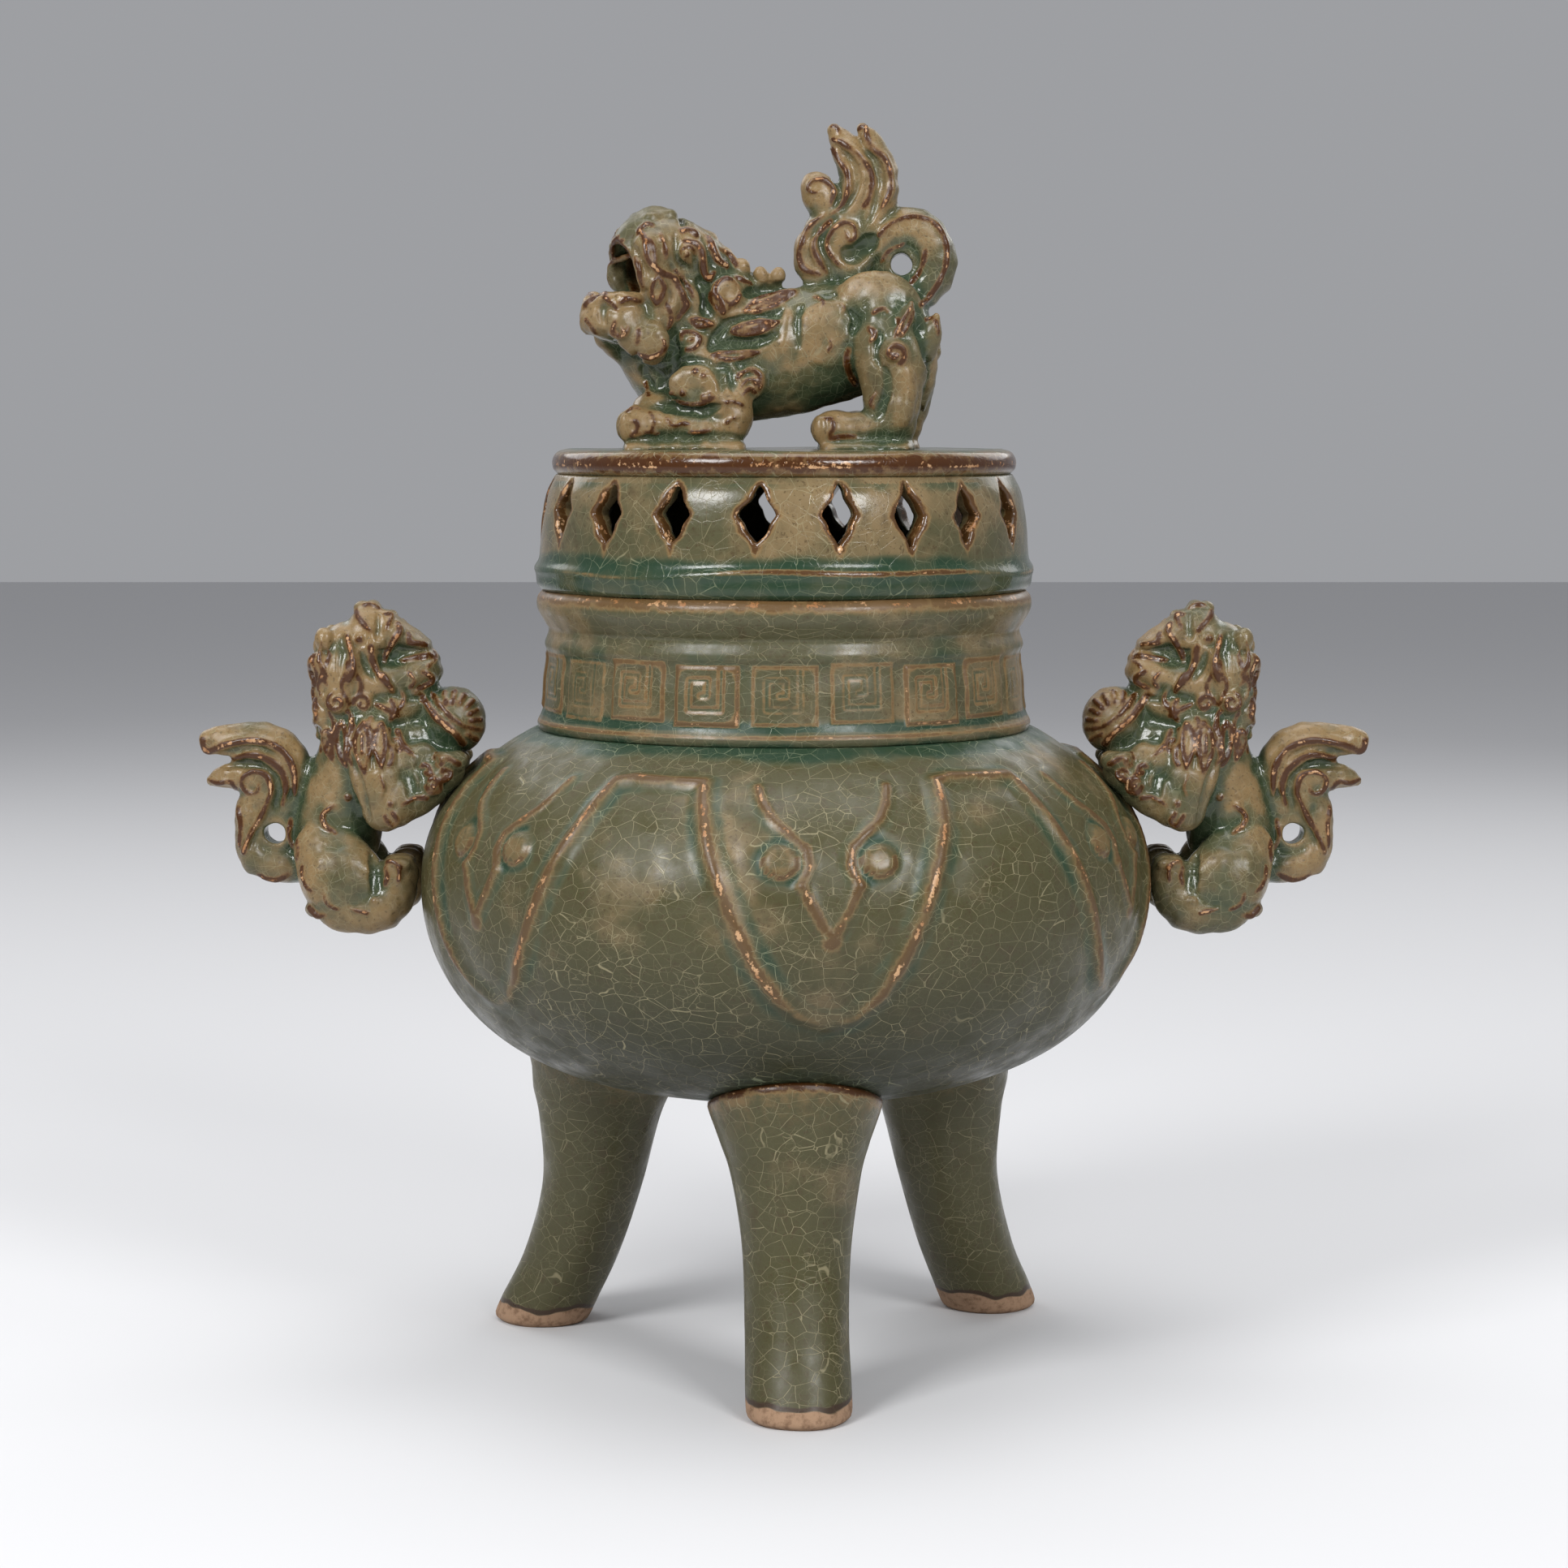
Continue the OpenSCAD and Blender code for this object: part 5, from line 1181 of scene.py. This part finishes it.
class Shader:
    """A material's nodes, with short ways to add and join them."""

    def __init__(self, name):
        self.material = bpy.data.materials.new(name)
        self.material.use_nodes = True
        self.tree = self.material.node_tree
        self.out = self.tree.nodes["Principled BSDF"]
        self.place = self.node("ShaderNodeTexCoord").outputs["Object"]

    def node(self, kind, **settings):
        n = self.tree.nodes.new(kind)
        for key, value in settings.items():
            setattr(n, key, value)
        return n

    def join(self, a, b):
        self.tree.links.new(a, b)

    def feed(self, socket, value):
        if hasattr(value, "is_output"):
            self.join(value, socket)
        else:
            socket.default_value = value

    def noise(self, scale, detail=3.0, rough=0.55):
        n = self.node("ShaderNodeTexNoise")
        n.inputs["Scale"].default_value = scale
        n.inputs["Detail"].default_value = detail
        n.inputs["Roughness"].default_value = rough
        self.join(self.place, n.inputs["Vector"])
        return n.outputs["Fac"]

    def span(self, value, low, high, to_low=0.0, to_high=1.0):
        n = self.node("ShaderNodeMapRange", interpolation_type="SMOOTHSTEP")
        self.feed(n.inputs["Value"], value)
        for key, v in (("From Min", low), ("From Max", high), ("To Min", to_low), ("To Max", to_high)):
            n.inputs[key].default_value = v
        return n.outputs["Result"]

    def math(self, kind, a, b):
        n = self.node("ShaderNodeMath", operation=kind)
        self.feed(n.inputs[0], a)
        self.feed(n.inputs[1], b)
        return n.outputs[0]

    def mix(self, share, a, b):
        n = self.node("ShaderNodeMix", data_type="RGBA")
        self.feed(n.inputs["Factor"], share)
        self.feed(n.inputs["A"], a)
        self.feed(n.inputs["B"], b)
        return n.outputs["Result"]

    def mark(self, name):
        return self.node("ShaderNodeAttribute", attribute_name=name).outputs["Fac"]

    def height(self):
        n = self.node("ShaderNodeSeparateXYZ")
        self.join(self.place, n.inputs[0])
        return n.outputs["Z"]

    def cracks(self, scale, width, bend, stretch):
        """Lines along the edges of bent cells, 1 on a line."""
        where = self.node("ShaderNodeMapping")
        where.inputs["Scale"].default_value = stretch
        self.join(self.place, where.inputs["Vector"])
        drift = self.node("ShaderNodeTexNoise")
        drift.inputs["Scale"].default_value = scale * 0.45
        drift.inputs["Detail"].default_value = 2
        self.join(where.outputs["Vector"], drift.inputs["Vector"])
        shift = self.node("ShaderNodeVectorMath", operation="MULTIPLY_ADD")
        self.join(drift.outputs["Color"], shift.inputs[0])
        shift.inputs[1].default_value = (bend / scale,) * 3
        self.join(where.outputs["Vector"], shift.inputs[2])
        cells = self.node("ShaderNodeTexVoronoi", feature="DISTANCE_TO_EDGE")
        cells.inputs["Scale"].default_value = scale
        self.join(shift.outputs[0], cells.inputs["Vector"])
        return self.span(cells.outputs["Distance"], width * 0.35, width, 1.0, 0.0)


def colour(r, g, b):
    return (r, g, b, 1.0)


TAN, OLIVE, GREEN = colour(0.185, 0.13, 0.064), colour(0.07, 0.066, 0.031), colour(0.012, 0.036, 0.018)
BROWN, CREAM_HIGHLIGHT, CRACK = colour(0.046, 0.013, 0.001), colour(0.52, 0.31, 0.16), colour(0.27, 0.235, 0.135)
MOSS, PALE, WARM = colour(0.058, 0.053, 0.02), colour(0.2, 0.23, 0.14), colour(0.22, 0.135, 0.055)
RUST, SAGE, AMBER_HIGHLIGHT = colour(0.15, 0.075, 0.026), colour(0.062, 0.068, 0.034), colour(0.3, 0.135, 0.05)
# The first colour on the next line is near-black green: glaze pooled low on the bowl, and painted shade
LOW_POOL_AND_SHADE, FLECK, RIND = colour(0.016, 0.019, 0.008), colour(0.05, 0.03, 0.012), colour(0.035, 0.017, 0.009)
CLAY, GRIT, HONEY = colour(0.31, 0.195, 0.12), colour(0.16, 0.09, 0.05), colour(0.2, 0.13, 0.056)
# Height in metres up to which a leg's foot is bare, and of the dark rind where the glaze stops
BARE_Z, RIND_Z = 0.0044, 0.0048


def ground(s, tan, body, bare):
    """The glaze's own colour, from body to bare in soft patches, with dark flecks of two sizes."""
    tone = s.math("ADD", s.math("MULTIPLY", s.noise(16, 2), 0.5), s.math("MULTIPLY", s.noise(60, 4), 0.5))
    base = s.mix(s.span(tone, 0.66 - tan * 0.4, 0.82 - tan * 0.4), body, bare)
    base = s.mix(s.span(s.noise(260, 4, 0.65), 0.52, 0.75, 0.0, 0.5), base, FLECK)
    return s.mix(s.span(s.noise(1300, 2, 0.6), 0.58, 0.7, 0.0, 0.6), base, FLECK)


def thinned(s, base, line, warm, rust, iron):
    """Thin glaze on a line: warm, then brown, with broken gold and cream on its crest, partly painted
    highlight.
    """
    thin = s.math("MULTIPLY", line, s.span(s.noise(300, 4, 0.65), 0.3, 0.7, 0.5, 1.5))
    base = s.mix(s.span(thin, 0.05, 0.34, 0.0, rust), base, warm)
    base = s.mix(s.span(thin, 0.22, 0.56, 0.0, iron), base, BROWN)
    crest = s.math("ADD", line, s.span(s.noise(230, 2, 0.6), 0.36, 0.6, -0.4, 0.12))
    crest = s.math("ADD", crest, s.span(s.noise(900, 3, 0.7), 0.35, 0.65, -0.16, 0.14))
    # On the crest: broken gold and cream, partly the thin glaze's colour, partly a painted highlight
    crest_gold_and_highlight = s.mix(s.span(s.noise(190, 2), 0.35, 0.65), AMBER_HIGHLIGHT, CREAM_HIGHLIGHT)
    return s.mix(s.span(crest, 0.8, 0.96, 0.0, 0.9), base, crest_gold_and_highlight)


def crackle(s, cell, stretch):
    """Crackle lines in cells of about cell mm, broken up in places into smaller ones."""
    big = s.cracks(1000 / cell, 0.08 / cell, 0.4, stretch)
    small = s.cracks(2000 / cell, 0.11 / cell, 0.36, stretch)
    return s.math("MAXIMUM", big, s.math("MULTIPLY", small, s.span(s.noise(120, 3), 0.4, 0.66, 0.1, 0.75)))


def gritty(s):
    """The colour of bare clay with grit."""
    return s.mix(s.span(s.noise(420, 4, 0.7), 0.42, 0.72), CLAY, GRIT)


def glaze(name, tan=0.5, cell=3.6, stretch=(1, 1, 1), gloss=0.22, pool_and_shade_span=(0.1, 0.95), edge=0.0, deep=None,
          foot=False, crack=0.8, wet=1.0, iron=0.95, rust=0.75, green=0.95, body=OLIVE, bare=TAN, warm=RUST):
    """Crackled celadon: thin and brown on ridges, pooled and green in hollows, green too where shade is
    painted.
    """
    s = Shader(name)
    s.out.inputs["Specular IOR Level"].default_value = 0.38
    base = ground(s, tan, body, bare)
    # The pool marks carry painted shade as well as pooled glaze, and both turn the glaze sage and green
    hollow = s.math("ADD", s.mark("hollow"), s.span(s.noise(75, 3), 0.25, 0.75, -0.3, 0.3))
    pooled_and_shaded = s.span(hollow, *pool_and_shade_span)
    base = s.mix(s.span(pooled_and_shaded, 0.0, 0.45, 0.0, 0.75), base, SAGE)
    base = s.mix(s.span(pooled_and_shaded, 0.25, 1.0, 0.0, green), base, GREEN)
    # Darker towards the bottom: partly glaze pooled low down, partly painted shade under the belly
    if deep is not None:
        base = s.mix(s.span(s.height(), deep[1], deep[0], 0.0, 0.9), base, LOW_POOL_AND_SHADE)
    line = s.math("ADD", s.mark("line"), s.span(s.mark("ridge"), 0.16, 0.6, 0.0, edge))
    base = thinned(s, base, line, warm, rust, iron)
    lines = crackle(s, cell, stretch)
    patchy = s.span(s.noise(50, 2), 0.3, 0.62, 0.45, 1.0)
    dotted = s.span(s.noise(420, 3), 0.32, 0.58, 0.45, 1.0)
    fade = s.math("MULTIPLY", s.math("MULTIPLY", patchy, dotted), s.span(line, 0.25, 0.6, crack, 0.0))
    base = s.mix(s.math("MULTIPLY", lines, fade), base, s.mix(pooled_and_shaded, CRACK, PALE))
    rough = s.span(s.noise(140, 4), 0.3, 0.7, gloss * 0.75, gloss * 1.5)
    rough = s.math("MULTIPLY", rough, s.span(pooled_and_shaded, 0.0, 0.7, 1.0, wet))
    if foot:
        z = s.math("ADD", s.height(), s.span(s.noise(60, 2), 0.2, 0.8, -0.002, 0.002))
        unglazed = s.span(z, BARE_Z, BARE_Z - 0.0004)
        rind = s.span(s.math("ABSOLUTE", s.math("SUBTRACT", z, RIND_Z), 0.0), 0.0009, 0.0003, 0.0, 0.9)
        base = s.mix(unglazed, s.mix(rind, base, RIND), gritty(s))
        rough = s.math("MAXIMUM", rough, s.math("MULTIPLY", unglazed, 0.85))
    s.join(base, s.out.inputs["Base Color"])
    s.join(rough, s.out.inputs["Roughness"])
    bump = s.node("ShaderNodeBump")
    bump.inputs["Strength"].default_value = 0.22
    bump.inputs["Distance"].default_value = 0.0006
    s.join(s.math("SUBTRACT", s.noise(190, 3), s.math("MULTIPLY", lines, 0.12)), bump.inputs["Height"])
    s.join(bump.outputs["Normal"], s.out.inputs["Normal"])
    return s.material


def bare_clay(name):
    """Unglazed clay with grit, for the ring under the lid."""
    s = Shader(name)
    s.join(gritty(s), s.out.inputs["Base Color"])
    s.join(s.span(s.noise(260, 3), 0.3, 0.7, 0.7, 0.92), s.out.inputs["Roughness"])
    return s.material


# Glazes
# The bowl's deep setting darkens it towards the bottom: pooled glaze and painted shade
bowl_glaze = glaze("bowl_glaze", tan=0.26, cell=4.6, stretch=(1, 1, 1.4), gloss=0.36, deep=(0.07, 0.118),
                   crack=0.75, iron=0.55, rust=0.5, body=MOSS, warm=WARM)
neck_glaze = glaze("neck_glaze", tan=0.5, cell=4.0, stretch=(1, 1, 1.7), gloss=0.32, crack=0.6, iron=0.5,
                   warm=WARM)
leg_glaze = glaze("leg_glaze", tan=0.24, cell=4.2, stretch=(1, 1, 1.3), gloss=0.34, foot=True, crack=0.7,
                  body=MOSS, warm=WARM)
lid_glaze = glaze("lid_glaze", tan=0.48, cell=4.0, gloss=0.16, pool_and_shade_span=(0.1, 1.2), crack=0.55, iron=0.8,
                  warm=WARM)
rim_glaze = glaze("lid_rim_glaze", tan=0.4, gloss=0.15)
LION_LOOK = dict(cell=2.4, gloss=0.3, edge=0.5, crack=0.46, wet=0.4, green=0.72, bare=HONEY)
finial_glaze = glaze("finial_glaze", tan=0.66, pool_and_shade_span=(-0.5, 0.7), **LION_LOOK)
lion_glaze = glaze("lion_glaze", tan=0.6, pool_and_shade_span=(-0.4, 0.8), **LION_LOOK)

# Pieces
make_bowl(bowl_glaze)
make_neck(neck_glaze)
for leg in LEG_TURNS:
    make_leg(leg, leg_glaze)
make_drum(lid_glaze)
make_deck(rim_glaze)
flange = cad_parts["lid_flange"].data.materials
flange.clear()
flange.append(bare_clay("bare_clay"))
verts, faces, marks = sculpt_finial()
object_of("finial_lion", verts, [faces], marks, finial_glaze, "lid", "finial_glaze",
          ["finial_body", "finial_head", "finial_near_foreleg", "finial_far_foreleg", "finial_near_hindleg",
           "finial_far_hindleg", "finial_tail"])
verts, faces, marks = sculpt_handle()
for side, way in (("right", 1), ("left", -1)):
    nodes = ["%s_lion_%s" % (side, part) for part in ("body", "head", "arms", "hindlegs", "tail", "ball")]
    object_of(side + "_lion", verts * (way, 1, 1), [faces[:, ::way]], marks, lion_glaze, "burner",
              "lion_glaze", nodes)

# Camera, where the photograph was taken from
lens = bpy.data.cameras.new("camera")
lens.sensor_width, lens.lens = 36.0, 83.85
camera = bpy.data.objects.new("camera", lens)
camera.location = (0.0, -0.865, 0.224)
camera.rotation_euler = (math.radians(84.2), 0.0, 0.0)
bpy.context.scene.collection.objects.link(camera)
bpy.context.scene.camera = camera
bpy.context.scene.view_settings.view_transform = "Standard"

# Pale floor and soft studio light
bpy.ops.mesh.primitive_plane_add(size=8.0, location=(0, 0, 0))
floor = bpy.context.object
floor.name = "floor"
paper = Shader("floor_paper")
paper.out.inputs["Base Color"].default_value = colour(0.62, 0.62, 0.63)
paper.out.inputs["Roughness"].default_value = 0.6
floor.data.materials.append(paper.material)
world = bpy.data.worlds.new("studio")
bpy.context.scene.world = world
world.use_nodes = True
world.node_tree.nodes["Background"].inputs["Color"].default_value = colour(0.62, 0.63, 0.66)
world.node_tree.nodes["Background"].inputs["Strength"].default_value = 0.55
LIGHT_AIM = np.array([0, 0, 0.15])


def softbox(name, place, watts, size):
    """An area light aimed at the middle of the burner."""
    data = bpy.data.lights.new(name, "AREA")
    data.energy, data.size = watts, size
    lamp = bpy.data.objects.new(name, data)
    lamp.location = place
    x, y, z = np.array(place) - LIGHT_AIM
    lamp.rotation_euler = (math.atan2(math.hypot(x, y), z), 0.0, math.atan2(x, -y))
    bpy.context.scene.collection.objects.link(lamp)


softbox("key_left", (-0.75, -0.9, 0.95), 14.0, 0.45)
softbox("key_right", (0.6, -0.95, 0.8), 9.0, 0.4)
softbox("top", (0.0, 0.1, 1.3), 8.0, 0.9)
softbox("back_left", (-0.75, 0.9, 0.9), 3.5, 0.7)
softbox("back_right", (0.7, 0.95, 0.8), 3.0, 0.7)
